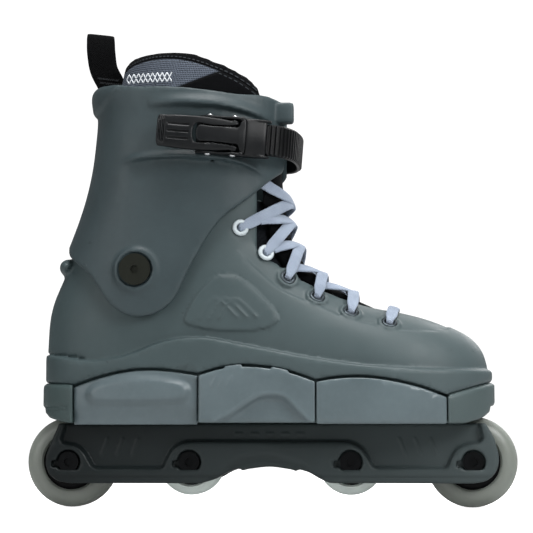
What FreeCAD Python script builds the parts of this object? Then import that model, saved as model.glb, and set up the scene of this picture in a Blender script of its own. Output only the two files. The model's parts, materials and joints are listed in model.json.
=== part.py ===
import FreeCAD, Part
import math
import os

# One right-foot park skate: plastic boot on a four-wheel frame.
# Row frame, millimetres: +X to the toe, +Y to the inner (medial) side, +Z up.
# Origin on the ground under the middle of the wheelbase, on the frame's centre plane.

Vector = FreeCAD.Vector
os.makedirs("parts", exist_ok=True)

# ---------------------------------------------------------------- driving sizes
SIDES = (-1, 1)              # outer (lateral), inner (medial)
AXLE_Z = 29.5
OUT_WHEEL_X = 131.2          # outer axles
IN_WHEEL_X = 52.3            # inner (anti-rocker) axles
OUT_WHEEL = (29.5, 24.0, 18.0)   # tyre radius, tyre width, hub radius
IN_WHEEL = (21.5, 22.0, 15.0)
WHEELS = [("heel", -OUT_WHEEL_X, OUT_WHEEL), ("rear_inner", -IN_WHEEL_X, IN_WHEEL),
          ("front_inner", IN_WHEEL_X, IN_WHEEL), ("toe", OUT_WHEEL_X, OUT_WHEEL)]
BEARING_R, BEARING_BORE_R, BEARING_W = 11.0, 4.0, 7.0
SPACER_L = 10.2
AXLE_R = 3.96
AXLE_HOLE_R = 4.05
FRAME_HALF_W = 24.0          # over the rails
FRAME_TOP, FRAME_BOT = 54.2, 15.7
WALL_Y = 13.2                # inner face of the frame walls
RECESS_Y = 18.6              # outer face of the recessed walls, under the axle heads
SOLE_BOT = 54.5
SHELL_BOT = 72.0
FLOOR = 77.0                 # top of the shell's floor
PANEL_T = 6.7
SHELL_T = 4.2
CUFF_T = 3.7
ANKLE_X, ANKLE_Z = -85.5, 153.0
MOUNT_PITCH = 165.0
MOUNT_XS = (-MOUNT_PITCH / 2, MOUNT_PITCH / 2)
MOUNT_HOLE_R = 3.4
TOOL_Y = 75.0                # half width of the side-view cutting tools


# ---------------------------------------------------------------- helpers
def box(x_min, y_min, z_min, x_max, y_max, z_max):
    return Part.makeBox(x_max - x_min, y_max - y_min, z_max - z_min, Vector(x_min, y_min, z_min))


def side_box(side, x_min, x_max, y_one, y_other, z_min, z_max):
    """Box whose two y faces are given as distances from the centre plane."""
    y_min, y_max = sorted((side * y_one, side * y_other))
    return box(x_min, y_min, z_min, x_max, y_max, z_max)


def cyl(radius, base, direction, length):
    return Part.makeCylinder(radius, length, Vector(*base), Vector(*direction))


def y_cyl(radius, x, y, z, length, side=1):
    """Cylinder starting at side * y and running away along side * Y."""
    return cyl(radius, (x, side * y, z), (0, side, 0), length)


def y_tube(radius, bore_r, x, y, z, length, side=1):
    bore = y_cyl(bore_r, x, y - 5, z, length + 10, side)
    return y_cyl(radius, x, y, z, length, side).cut(bore)


def z_cyl(radius, x, y, z, length):
    return cyl(radius, (x, y, z), (0, 0, 1), length)


def poly_face(points):
    return Part.Face(Part.makePolygon(points + [points[0]]))


def hexagon(radius, place):
    corners = [place(radius * math.cos(math.pi * k / 3), radius * math.sin(math.pi * k / 3))
               for k in range(7)]
    return Part.Face(Part.makePolygon(corners))


def outline(start, *runs):
    """Closed outline. A point ends a straight run, a list of points is a spline run; each
    begins where the last ended. A straight run closes it unless it ends at the start."""
    joined, last = [], start
    for run in runs:
        points = [last] + (run if isinstance(run, list) else [run])
        joined.append(points)
        last = points[-1]
    if last != start:
        joined.append([last, start])
    return joined


def runs_face(runs, place):
    """Face inside a closed outline; place turns its pairs into points in space."""
    edges = []
    for run in runs:
        points = [place(*pair) for pair in run]
        if len(points) == 2:
            edges.append(Part.makeLine(*points))
        else:
            curve = Part.BSplineCurve()
            curve.interpolate(points)
            edges.append(curve.toShape())
    return Part.Face(Part.Wire(edges))


def extrude_side(runs, y_one=-TOOL_Y, y_other=TOOL_Y):
    """Extrude a side-view (x, z) outline along Y."""
    y_min, y_max = sorted((y_one, y_other))
    face = runs_face(runs, lambda x, z: Vector(x, y_min, z))
    return face.extrude(Vector(0, y_max - y_min, 0))


def extrude_plan(runs, z_min, height):
    """Extrude a plan-view (x, y) outline upwards."""
    return runs_face(runs, lambda x, y: Vector(x, y, z_min)).extrude(Vector(0, 0, height))


def revolve_y(runs, x=0.0, z=0.0):
    """Turn a (radius, y) outline about the line along Y through x, z."""
    face = runs_face(runs, lambda radius, y: Vector(x + radius, y, z))
    return face.revolve(Vector(x, 0, z), Vector(0, 1, 0), 360)


def closed_spline(points):
    curve = Part.BSplineCurve()
    curve.interpolate(Points=[Vector(*point) for point in points], PeriodicFlag=True)
    return Part.Wire([curve.toShape()])


def loft(wires):
    return Part.makeLoft(wires, True, False)


def interp(table, x, column):
    """Smooth (Catmull-Rom) table look-up of a column at x."""
    if x <= table[0][0]:
        return table[0][column]
    if x >= table[-1][0]:
        return table[-1][column]
    i = max(j for j in range(len(table) - 1) if table[j][0] <= x)
    x_low, x_high = table[i][0], table[i + 1][0]
    low, high = table[i][column], table[i + 1][column]
    slope = (high - low) / (x_high - x_low)
    slope_low = slope_high = slope
    if i > 0:
        slope_low = (high - table[i - 1][column]) / (x_high - table[i - 1][0])
    if i + 2 < len(table):
        slope_high = (table[i + 2][column] - low) / (table[i + 2][0] - x_low)
    span = x_high - x_low
    part = (x - x_low) / span
    return ((2 * part**3 - 3 * part**2 + 1) * low
            + (part**3 - 2 * part**2 + part) * span * slope_low
            + (-2 * part**3 + 3 * part**2) * high + (part**3 - part**2) * span * slope_high)


def largest(shape):
    return max(shape.Solids, key=lambda solid: solid.Volume)


def save(name, shapes):
    """Write the solids of one shape or a list, leaving out slivers."""
    if not isinstance(shapes, list):
        shapes = [shapes]
    solids = [solid for shape in shapes for solid in shape.Solids if solid.Volume > 0.5]
    body = solids[0] if len(solids) == 1 else Part.makeCompound(solids)
    body.exportStep("parts/%s.step" % name)


# ---------------------------------------------------------------- boot form
# Plan outline of the sole: x, lateral half width (-Y), medial half width (+Y)
PLAN = [
    (-151.6, 0.0, 0.0), (-149.5, 12.5, 12.5), (-144, 23, 23), (-132, 32.5, 32.5),
    (-112, 38.8, 38.5), (-80, 42.5, 41), (-50, 44.5, 41.5), (-20, 46.5, 42), (10, 49.3, 43),
    (40, 52.2, 45.5), (70, 53, 48), (95, 50.3, 48.3), (115, 43.5, 44.5), (130, 33.3, 37),
    (140, 21.5, 27.5), (145, 11.5, 17), (146.6, 0, 4)]

# Foot part of the shell: x, top z, lateral half width, medial half width
FOOT = [
    (-68, 150, 25.0, 25.0), (-48, 158, 31.0, 31.0), (-30, 166, 37.5, 36.5),
    (-8, 172, 40.0, 38.0), (10, 164, 42.0, 39.5), (25, 153, 43.8, 41.0),
    (40, 143.5, 45.2, 42.3), (55, 136.5, 46.2, 43.6), (71, 131.2, 46.6, 44.6),
    (85, 128.2, 45.8, 44.8), (98, 125.0, 43.4, 43.6), (110, 121.0, 39.0, 40.6),
    (120, 116.5, 33.5, 36.5), (128, 112.4, 27.0, 31.2), (134, 107.6, 20.2, 25.2),
    (138.5, 101.5, 13.0, 18.5), (141.6, 93, 6.0, 11.0)]

# Leg part of the shell: z, back x, front x, half width
LEG = [
    (72, -147.5, -20, 35.5), (90, -148.6, -10, 36.6), (107, -148.3, 0, 37.4),
    (123, -147.3, 9, 38.2), (135, -144.4, 13, 38.6), (147, -139.5, 15, 38.6),
    (160, -133.6, 13.5, 37.8), (175, -127.6, 11, 37.2), (190, -121.6, 9, 37.2),
    (207, -117.4, 8, 37.6)]

# Cuff outer surface: z, back x, front x, half width
CUFF = [
    (112, -153.5, 14, 44.0), (123, -152.3, 17, 44.8), (135, -149.6, 20, 45.3),
    (147, -145.2, 21.5, 45.5), (160, -139.6, 20.5, 45.2), (171, -134.9, 19, 44.9),
    (190.5, -127.7, 16, 44.6), (207, -122.8, 14, 44.8), (223, -119.5, 13, 45.4),
    (239, -117.5, 13, 46.0), (255, -116.3, 13, 46.6), (262, -117.6, 13, 47.2),
    (271, -118.6, 13, 47.6)]

# Superellipse exponents of the cross sections
LEG_POWER = 2.3
FOOT_TOP_POWER, FOOT_BOT_POWER = 2.25, 5.0
TAPER_X = 80                 # in front of this an inset foot is shortened
LEG_TOP = 207.0


def signed_power(value, power):
    return math.copysign(abs(value) ** power, value)


def circle_angles(count):
    return [2 * math.pi * i / count for i in range(count)]


def even(points, count):
    """Pick count points evenly along a closed dense outline, starting at its first point."""
    total = len(points)
    lengths = [0.0]
    for i in range(total):
        lengths.append(lengths[-1] + math.dist(points[i], points[(i + 1) % total]))
    picked, j = [], 0
    for k in range(count):
        target = lengths[-1] * k / count
        while lengths[j + 1] < target:
            j += 1
        part = (target - lengths[j]) / max(lengths[j + 1] - lengths[j], 1e-9)
        start, end = points[j % total], points[(j + 1) % total]
        picked.append(tuple(start[m] + (end[m] - start[m]) * part for m in range(3)))
    return picked


def leg_wire(x_back, x_front, half_w, z):
    x_mid, half_l = (x_back + x_front) / 2, (x_front - x_back) / 2
    points = [(x_mid + half_l * signed_power(math.cos(angle), 2 / LEG_POWER),
               half_w * signed_power(math.sin(angle), 2 / LEG_POWER), z)
              for angle in circle_angles(720)]
    return closed_spline(even(points, 24))


def leg_loft(table, inset, z_min, z_max, step):
    count = max(3, int(round((z_max - z_min) / step)))
    wires = []
    for i in range(count + 1):
        z = z_min + (z_max - z_min) * i / count
        wires.append(leg_wire(interp(table, z, 1) + inset, interp(table, z, 2) - inset,
                              interp(table, z, 3) - inset, z))
    return loft(wires)


def foot_wire(x, z_bot, z_top, lateral_w, medial_w, z_wide):
    points = []
    for angle in circle_angles(1440):
        cosine, sine = math.cos(angle), math.sin(angle)
        half_w = medial_w if cosine > 0 else lateral_w
        if sine >= 0:
            power, height = 2 / FOOT_TOP_POWER, z_top - z_wide
        else:
            power, height = 2 / FOOT_BOT_POWER, z_wide - z_bot
        points.append((x, half_w * signed_power(cosine, power),
                       z_wide + height * signed_power(sine, power)))
    return closed_spline(even(points, 28))


def foot_loft(inset, z_bot):
    x_end = FOOT[-1][0]
    wires = []
    for x, z_top, lateral_w, medial_w in FOOT:
        if x >= TAPER_X:
            x = TAPER_X + (x - TAPER_X) * (x_end - inset - TAPER_X) / (x_end - TAPER_X)
        z_top = max(z_top - inset, z_bot + 10)
        z_wide = min(z_bot + 22, (z_bot + z_top) / 2)
        wires.append(foot_wire(x, z_bot, z_top, max(lateral_w - inset, 3.0),
                               max(medial_w - inset, 3.0), z_wide))
    return loft(wires)


def plan_prism(inset, z_min, z_max):
    """Sole outline, moved inwards by inset, as a prism."""
    x_heel, x_toe = PLAN[0][0], PLAN[-1][0]
    x_first, x_last = x_heel + inset, x_toe - inset
    lateral, medial = [], []
    for x, lateral_w, medial_w in PLAN[1:-1]:
        part = (x - x_heel) / (x_toe - x_heel)
        x = x_first + part * (x_last - x_first)
        lateral.append((x, -max(lateral_w - inset * min(1, lateral_w / 25.0), 3), z_min))
        medial.append((x, max(medial_w - inset * min(1, medial_w / 25.0), 3), z_min))
    points = [(x_first, 0, z_min)] + medial + [(x_last, 2.0, z_min)] + lateral[::-1]
    return Part.Face(closed_spline(points)).extrude(Vector(0, 0, z_max - z_min))


def boot_form(inset, z_floor):
    """Foot and leg together, cut flat at z_floor."""
    foot = foot_loft(inset, z_floor - 14)
    leg = leg_loft(LEG, inset, z_floor - 18, LEG_TOP, 9.0)
    return foot.fuse(leg).cut(box(-200, -90, z_floor - 60, 200, 90, z_floor))


# Side-view (x, z) lines between the sole panels and the shell's lower band
HEEL_LINE = [(-156, 81.6), (-126.6, 79.4)]
REAR_LINE = [(-126.6, 79.4), (-112, 84.2), (-95, 88.3), (-79, 89.9), (-62, 89.0), (-44.7, 86.4)]
MIDDLE_LINE = [(-44.7, 86.4), (-31, 90.3), (-17, 91.9), (0, 90.8), (16, 87.3), (30.9, 82.1)]
FRONT_LINE = [(30.9, 82.1), (45, 84.1), (59.7, 84.6), (76, 83.0), (96, 78.6), (114, 72.3)]
TOE_LINE = [(114, 72.3), (150, 83.0)]


def under(lines, lift=0.0):
    """Everything under joined side-view lines moved up by lift, down to z = 40."""
    z_low = 40.0
    runs = [[(x, z + lift) for x, z in line] for line in lines]
    first, last = runs[0][0], runs[-1][-1]
    low_last, low_first = (last[0], z_low), (first[0], z_low)
    runs += [[last, low_last], [low_last, low_first], [low_first, first]]
    return extrude_side(runs)


def throat_prism(nose_x, edge, z_min, height):
    """Upright prism down the throat: a rounded nose, then (x, y) points back along the
    medial edge, mirrored on the lateral side."""
    mirrored = [(x, -y) for x, y in edge[::-1]]
    runs = outline(mirrored[-1], [(nose_x, 0), edge[0]], edge[1:], mirrored[0], mirrored[1:])
    return extrude_plan(runs, z_min, height)


shell_form = boot_form(0.0, SHELL_BOT)

# ---------------------------------------------------------------- eyelets
# Centres in side view (x, z), top to bottom
EYELETS = [(-18.3, 181.0), (-2.0, 164.8), (12.6, 149.0), (31.6, 136.6), (53.4, 126.6),
           (78.0, 119.4)]
RING_ROWS = 2                # upper rows with raised rings; the rest have sunk ferrules
# Hole and bore radii; else radius, start outwards from the surface, length
RING = {"hole": 3.3, "seat": (5.6, 0.35, 3.0), "flange": (5.3, 0.45, 1.6),
        "barrel": (3.2, -5.0, 6.0), "bore": 2.5}
FERRULE = {"hole": 3.6, "seat": (5.4, -0.6, 4.0), "flange": (5.1, -0.5, 1.2),
           "barrel": (3.4, -4.2, 4.6), "bore": 2.7}


def surface_y(x, z, side):
    """Distance of the shell's surface from the centre plane."""
    line = Part.makeLine(Vector(x, 0, z), Vector(x, side * 80, z))
    return max(abs(vertex.Point.y) for vertex in line.common(shell_form).Vertexes)


def surface_spot(x, z, side):
    """Point on the shell's surface and the outward normal there."""
    step = 2.0
    slope_x = (surface_y(x + step, z, side) - surface_y(x - step, z, side)) / (2 * step)
    slope_z = (surface_y(x, z + step, side) - surface_y(x, z - step, side)) / (2 * step)
    normal = Vector(-slope_x, side, -slope_z)
    normal.normalize()
    return Vector(x, side * surface_y(x, z, side), z), normal


def spot_cyl(spot, radius, start, length):
    """Cylinder along a spot's normal, from start outwards of the surface."""
    point, normal = spot
    return Part.makeCylinder(radius, length, point + normal * start, normal)


# One row of two spots, lateral then medial, per eyelet height
eyelet_rows = [[surface_spot(x, z, side) for side in SIDES] for x, z in EYELETS]


# ---------------------------------------------------------------- shell
# Side-view (x, z) top of the lower band, which is wider than the upper
BAND_LINE = [
    (-156, 97.5), (-128, 95.5), (-112, 97.5), (-95, 103), (-78, 108), (-62, 109.2),
    (-45, 108.2), (-25, 105.5), (0, 100), (25, 96), (50, 92.8), (75, 90.3), (110, 87.3),
    (150, 86.6)]
# Side view (x, z) of what is cut away above the ankle part
SHELL_TOP_CUT = outline((-160, 163), (-118, 166), [(-95, 176), (-60, 190), (-25, 203), (25, 206)],
                        (25, 260), (-160, 260))
SHELL_THROAT = [(76, 6), (66, 13.5), (50, 17.5), (30, 21), (10, 24.5), (-6, 27)]


def build_shell():
    """Shell, and the solids of the raised rings and the sunk ferrules."""
    band = plan_prism(1.2, SHELL_BOT, 112.0).common(under([BAND_LINE]))
    shell = shell_form.fuse(band)
    panel_room = under([HEEL_LINE, REAR_LINE, MIDDLE_LINE, FRONT_LINE, TOE_LINE])
    panel_room = panel_room.cut(plan_prism(PANEL_T + 0.3, 60.0, 100.0))
    shell = shell.cut(panel_room)
    shell = shell.cut(boot_form(SHELL_T, FLOOR))
    shell = shell.cut(extrude_side(SHELL_TOP_CUT))
    shell = shell.cut(throat_prism(79, SHELL_THROAT, 110, 110))
    # ankle bosses and pivot holes
    for side in SIDES:
        shell = shell.fuse(y_cyl(10.5, ANKLE_X, 36.0, ANKLE_Z, 3.0, side))
        shell = shell.fuse(y_cyl(7.6, ANKLE_X, 30.25, ANKLE_Z, 6.0, side))
        shell = shell.cut(y_cyl(5.05, ANKLE_X, 25, ANKLE_Z, 30, side))
    for x in MOUNT_XS:
        shell = shell.cut(z_cyl(MOUNT_HOLE_R, x, 0, 60, 25))
    rings, ferrules = [], []
    for i, row in enumerate(eyelet_rows):
        sizes, pieces = (RING, rings) if i < RING_ROWS else (FERRULE, ferrules)
        for spot in row:
            shell = shell.cut(spot_cyl(spot, sizes["hole"], -10, 16))
            shell = shell.cut(spot_cyl(spot, *sizes["seat"]))
            sleeve = spot_cyl(spot, *sizes["flange"]).fuse(spot_cyl(spot, *sizes["barrel"]))
            pieces.append(sleeve.cut(spot_cyl(spot, sizes["bore"], -8.0, 16)))
    return largest(shell), rings, ferrules


boot_shell, eyelet_rings, eyelet_ferrules = build_shell()
save("boot_shell", boot_shell)
save("eyelet_rings", eyelet_rings)
save("eyelet_ferrules", eyelet_ferrules)

# ---------------------------------------------------------------- sole plate and side panels
SOLE_SIDE = outline(
    (-160, 90), (-160, 66.2), (-151.6, 66.2), (-148.2, 64.6), (-143.8, 58.2), (-127, FRAME_TOP),
    (125, FRAME_TOP), (138.8, 59.2), (143.2, 63.2), (143.4, 65.6), (146.6, 67.2), (150, 67.2),
    (150, 90))
SOLE_ENDS = [(-160, -127.0, HEEL_LINE), (114.3, 160, TOE_LINE)]   # x from, x to, top line
# Name, x from, x to, top line, x of the two ribs
PANELS = [("rear", -127.0, -44.9, REAR_LINE, (-108, -66)),
          ("middle", -44.5, 30.7, MIDDLE_LINE, (-27, 13)),
          ("front", 31.1, 114.0, FRONT_LINE, (50, 90))]

# outer band of the sole plan, one panel thick
rim_band = plan_prism(0.0, 50.0, 95.0).cut(plan_prism(PANEL_T, 45.0, 99.0))


def build_sole():
    """Core with heel and toe caps, before the panel pockets."""
    core = plan_prism(PANEL_T + 0.3, SOLE_BOT, SHELL_BOT)
    caps, links = [], []
    for x_min, x_max, line in SOLE_ENDS:
        cap = rim_band.common(under([line], -0.7))
        caps.append(cap.common(box(x_min, -70, FRAME_TOP, x_max, 70, 95)))
        link = plan_prism(0.5, 58.0, SHELL_BOT - 1.0)
        links.append(link.common(box(x_min, -70, 50, x_max, 70, 90)))
    sole = core.fuse(caps + links).common(extrude_side(SOLE_SIDE))
    for x in (-OUT_WHEEL_X, OUT_WHEEL_X):
        sole = sole.cut(y_cyl(32.0, x, -13.6, AXLE_Z, 27.2))
    for x in MOUNT_XS:
        sole = sole.cut(z_cyl(MOUNT_HOLE_R, x, 0, 50, 30))
    return sole


def panel_screw(x, y):
    screw = z_cyl(1.5, x, y, 56.5, 9.5).fuse(z_cyl(2.8, x, y, 54.9, 2.0))
    return screw.cut(z_cyl(1.1, x, y, 54.0, 2.0))


sole_plate = build_sole()
panel_screws = []
for panel_name, x_from, x_to, top_line, rib_xs in PANELS:
    both_sides = rim_band.common(under([top_line], -0.8))
    both_sides = both_sides.common(box(x_from + 0.15, -70, 53.6, x_to - 0.15, 70, 95))
    for side, side_name in zip(SIDES, ("outer", "inner")):
        panel = both_sides.common(side_box(side, x_from, x_to, 0, 70, 50, 95))
        for x in rib_xs:
            panel_back = interp(PLAN, x, 2 if side > 0 else 1) - PANEL_T
            y_screw = side * (panel_back - 5.0)
            panel = panel.fuse(
                side_box(side, x - 5, x + 5, panel_back + 0.8, panel_back - 9.0, 60, 68))
            panel = panel.cut(z_cyl(1.5, x, y_screw, 59, 8.0))
            # pocket for the rib and a counterbored screw hole in the sole
            pocket = side_box(side, x - 5.2, x + 5.2, 70, panel_back - 9.3, 59.8, 68.2)
            sole_plate = sole_plate.cut(pocket.common(plan_prism(PANEL_T + 0.2, 50, 90)))
            sole_plate = sole_plate.cut(z_cyl(1.7, x, y_screw, 50, 12))
            sole_plate = sole_plate.cut(z_cyl(3.1, x, y_screw, 50, 6.9))
            panel_screws.append(panel_screw(x, y_screw))
        save("side_panel_%s_%s" % (panel_name, side_name), panel)
save("sole_plate", sole_plate)
save("panel_screws", panel_screws)

# ---------------------------------------------------------------- frame
# Side views (x, z)
FRAME_SIDE = outline(
    (-137.4, FRAME_TOP), (-145.7, 34.4), (-145.7, 27.7),
    [(-143.4, 21.5), (-138.4, 17.1), (-130.6, FRAME_BOT)],
    (-45, FRAME_BOT),
    [(-34.6, 18.8), (-27.5, 22.8), (-20, 25.2), (0, 26.3), (20, 24.6), (27, 22.6),
     (33.5, 18.5), (40, FRAME_BOT)],
    (132, FRAME_BOT),
    [(139.5, 17.3), (145.2, 22.5), (147.4, 29)],
    (147.4, 34), (144.4, 45.3), (139.3, FRAME_TOP))
# the upper wall, set back above the rails
WALL_RECESS = outline(
    (-133, 60), (-136.7, 45), (-134.5, 41.2),
    [(-127, 40.2), (-121.7, 36.6), (-117.6, 31), (-114, 25.5)],
    (-68.6, 25.5),
    [(-66.5, 32), (-62.5, 38.5), (-54.7, 42.4)],
    (52, 42.4),
    [(60, 38), (65, 30), (67.9, 25.5)],
    (114, 25.5),
    [(117.4, 33), (121.9, 38.6), (129, 41.4)],
    (135, 41.7), (137.8, 45.3), (132, 60))
# shallower arch in the middle
ARCH_RECESS = outline(
    (-42, 10), (-39, 20.6),
    [(-33, 24.0), (-27, 29.2), (-18.5, 33.4), (0, 35.6), (18, 31.8), (28, 25.2), (35, 20.6)],
    (38, 10))
WHEEL_GAP = 2.4


def build_frame():
    frame = extrude_side(FRAME_SIDE, -FRAME_HALF_W, FRAME_HALF_W)
    for side in SIDES:
        frame = frame.cut(extrude_side(WALL_RECESS, side * RECESS_Y, side * 30))
        frame = frame.cut(extrude_side(ARCH_RECESS, side * (RECESS_Y + 2.0), side * 30))
    # wheel wells
    for _, x, (tyre_r, _, _) in WHEELS:
        well_r = tyre_r + WHEEL_GAP
        frame = frame.cut(y_cyl(well_r, x, -WALL_Y, AXLE_Z, 2 * WALL_Y))
        frame = frame.cut(box(x - well_r, -WALL_Y, 0, x + well_r, WALL_Y, AXLE_Z))
    # open ends
    frame = frame.cut(box(-150, -WALL_Y, 0, -OUT_WHEEL_X, WALL_Y, 60))
    frame = frame.cut(box(OUT_WHEEL_X, -WALL_Y, 0, 150, WALL_Y, 60))
    # hollows under the mounting bolts
    for x_min, x_max in ((-103.5, -73), (73, 103.5)):
        frame = frame.cut(box(x_min, -WALL_Y, 0, x_max, WALL_Y, 44))
    for _, x, _ in WHEELS:
        frame = frame.cut(y_cyl(AXLE_HOLE_R, x, -30, AXLE_Z, 60))
        for side in SIDES:
            frame = frame.cut(y_cyl(7.2, x, RECESS_Y, AXLE_Z, 10, side))
    for x in MOUNT_XS:
        frame = frame.cut(z_cyl(MOUNT_HOLE_R, x, 0, 40, 20))
    return largest(frame)


save("frame_body", build_frame())


# ---------------------------------------------------------------- frame bolts
def frame_bolt(x):
    bolt = z_cyl(3.0, x, 0, 42.4, 36.2).fuse(z_cyl(5.0, x, 0, 37.2, 5.4))
    socket = hexagon(2.5, lambda across, y: Vector(x + across, y, 37.0))
    return bolt.cut(socket.extrude(Vector(0, 0, 3.2)))


def frame_washer(x):
    return z_cyl(6.2, x, 0, 42.7, 1.3).cut(z_cyl(3.2, x, 0, 42, 3))


def t_nut(x):
    nut = box(x - 9, -9, FLOOR, x + 9, 9, FLOOR + 2.0).fuse(z_cyl(3.35, x, 0, 73.5, 4))
    return nut.cut(z_cyl(3.05, x, 0, 70, 20))


save("frame_bolts", [frame_bolt(x) for x in MOUNT_XS])
save("frame_bolt_washers", [frame_washer(x) for x in MOUNT_XS])
save("boot_t_nuts", [t_nut(x) for x in MOUNT_XS])

# ---------------------------------------------------------------- wheels and bearings
BEARING_Y = SPACER_L / 2     # inner face of each bearing
HUB_HALF_W = 12.1
IN_HUB_HALF_W = 11.6
BALLS_PER_BEARING = 7


def build_tyre(x, size):
    tyre_r, width, hub_r = size
    half = width / 2
    return revolve_y(outline(
        (hub_r, -half + 1.2), (hub_r + 1.2, -half),
        [(tyre_r - 5.0, -half + 0.6), (tyre_r - 1.6, -half + 3.4), (tyre_r, -3.5)],
        (tyre_r, 3.5),
        [(tyre_r - 1.6, half - 3.4), (tyre_r - 5.0, half - 0.6), (hub_r + 1.2, half)],
        (hub_r, half - 1.2)), x, AXLE_Z)


def build_hub(x, size):
    hub_r = size[2]
    hub = revolve_y(outline(
        (BEARING_R, -HUB_HALF_W), (hub_r - 2.2, -HUB_HALF_W), (hub_r, -HUB_HALF_W + 2.0),
        (hub_r, HUB_HALF_W - 2.0), (hub_r - 2.2, HUB_HALF_W), (BEARING_R, HUB_HALF_W),
        (BEARING_R, BEARING_Y), (9.0, BEARING_Y), (9.0, -BEARING_Y), (BEARING_R, -BEARING_Y)),
        x, AXLE_Z)
    if size is IN_WHEEL:
        hub = hub.common(y_cyl(40, x, -IN_HUB_HALF_W, AXLE_Z, 2 * IN_HUB_HALF_W))
    return hub


def outer_race(y_mid):
    """Outer ring and side shields as one channel, about the origin's Y axis."""
    y_min, y_max = y_mid - BEARING_W / 2, y_mid + BEARING_W / 2
    return revolve_y(outline(
        (BEARING_R, y_min), (BEARING_R, y_max), (6.2, y_max), (6.2, y_max - 0.7),
        (9.3, y_max - 0.7), (9.3, y_min + 0.7), (6.2, y_min + 0.7), (6.2, y_min)))


def balls_and_cage(y_mid):
    cage = revolve_y(outline((7.1, y_mid - 2.5), (8.0, y_mid - 2.5), (8.0, y_mid + 2.5),
                             (7.1, y_mid + 2.5)))
    balls = []
    for k in range(BALLS_PER_BEARING):
        angle = 2 * math.pi * (k + 0.31) / BALLS_PER_BEARING
        cosine, sine = math.cos(angle), math.sin(angle)
        balls.append(Part.makeSphere(1.70, Vector(7.55 * cosine, y_mid, 7.55 * sine)))
        cage = cage.cut(cyl(1.78, (5.0 * cosine, y_mid, 5.0 * sine), (cosine, 0, sine), 6.0))
    return balls + [cage]


races, rolling = [], []
for side in SIDES:
    y_bearing = side * (BEARING_Y + BEARING_W / 2)
    races.append(outer_race(y_bearing))
    rolling += balls_and_cage(y_bearing)
for wheel_name, x, wheel_size in WHEELS:
    axle_centre = Vector(x, 0, AXLE_Z)
    save("tyre_" + wheel_name, build_tyre(x, wheel_size))
    save("hub_" + wheel_name, build_hub(x, wheel_size))
    save("bearing_races_" + wheel_name, [piece.translated(axle_centre) for piece in races])
    save("bearing_balls_" + wheel_name, [piece.translated(axle_centre) for piece in rolling])


# ---------------------------------------------------------------- axles
def wheel_axle(x):
    """Hollow axle; its head is on the lateral side."""
    axle = y_cyl(AXLE_R, x, -18.8, AXLE_Z, 37.2).fuse(y_cyl(6.6, x, -22.4, AXLE_Z, 3.8))
    return axle.cut(y_cyl(2.9, x, -23, AXLE_Z, 2.9)).cut(y_cyl(2.55, x, 4, AXLE_Z, 20))


def end_screw(x):
    screw = y_cyl(6.6, x, RECESS_Y, AXLE_Z, 3.8).fuse(y_cyl(2.5, x, 6, AXLE_Z, 14))
    return screw.cut(y_cyl(2.4, x, 19.6, AXLE_Z, 4))


inner_races, axle_ferrules = [], []
axle_xs = [x for _, x, _ in WHEELS]
bearing_end = BEARING_Y + BEARING_W
for x in axle_xs:
    for side in SIDES:
        inner_races.append(y_tube(5.8, BEARING_BORE_R, x, BEARING_Y, AXLE_Z, BEARING_W, side))
        axle_ferrules.append(y_tube(5.6, AXLE_HOLE_R, x, bearing_end, AXLE_Z,
                                    WALL_Y - bearing_end, side))
save("bearing_inner_races", inner_races)
save("bearing_spacers", [y_tube(5.8, 4.1, x, -BEARING_Y, AXLE_Z, SPACER_L) for x in axle_xs])
save("axle_ferrules", axle_ferrules)
save("wheel_axles", [wheel_axle(x) for x in axle_xs])
save("axle_end_screws", [end_screw(x) for x in axle_xs])

# ---------------------------------------------------------------- cuff
# Side view (x, z) of the region the cuff is kept in
CUFF_SIDE = outline(
    (-165, 300), (-165, 169.8), (-134.5, 169.4),
    [(-131, 163), (-117, 151), (-109, 140), (-102, 131), (-93.4, 125), (-82.6, 122.6),
     (-71.6, 125), (-62.8, 131), (-57.4, 138.7), (-52, 150.7), (-45.4, 162.7), (-37.7, 176),
     (-28, 188.0), (-18.4, 195.5), (-9, 203), (-0.5, 211), (12.6, 222)],
    (20, 226), (20, 256), (12.4, 260),
    [(6, 265.5), (-4, 267.6), (-19, 267.2), (-38.5, 269.5), (-60, 271.6), (-89, 272.3),
     (-125, 273.5)])
# Plan view (x, y) of the gap between the front flaps
FRONT_GAP = outline((60, -17), (-10, -17), [(-24, -10), (-24, 10), (-10, 17)], (60, 17))
PIVOT_HEAD_R, PIVOT_R = 10.15, 5.0

cuff_inside = leg_loft(CUFF, CUFF_T, 108.0, 284.0, 11.0)


def build_cuff():
    """Cuff with its ankle pivots, before the buckle and strap holes."""
    cuff = leg_loft(CUFF, 0.0, 116.0, 274.0, 11.0)
    for side in SIDES:
        cuff = cuff.fuse(y_cyl(14.5, ANKLE_X, 38, ANKLE_Z, 7.6, side))
    cuff = cuff.cut(cuff_inside)
    cuff = cuff.common(extrude_side(CUFF_SIDE))
    cuff = cuff.cut(extrude_plan(FRONT_GAP, 100, 220))
    for side in SIDES:
        cuff = cuff.cut(y_cyl(PIVOT_R + 0.06, ANKLE_X, 20, ANKLE_Z, 40, side))
        cuff = cuff.cut(y_cyl(PIVOT_HEAD_R + 1.0, ANKLE_X, 44.0, ANKLE_Z, 12, side))
        cuff = cuff.cut(y_cyl(11.0, ANKLE_X, 20.0, ANKLE_Z, 21.1, side))
    return cuff


# ---------------------------------------------------------------- buckle
# Built in its own frame: along the strap towards the toe, out from the cuff (-Y), up.
# Then pitched and yawed into place on the lateral side.
BUCKLE_X, BUCKLE_Y, BUCKLE_Z = -30.0, -45.0, 238.5
YAW, PITCH = 6.0, 4.4
PIN_R = 1.2
LEVER_PIVOT = (8.0, 7.2)     # along, out
LATCH_PIVOT = (-8.0, 6.0)
RIVETS = [(-12.5, 0.0), (3.0, 6.5), (3.0, -6.5)]   # along, up


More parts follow.
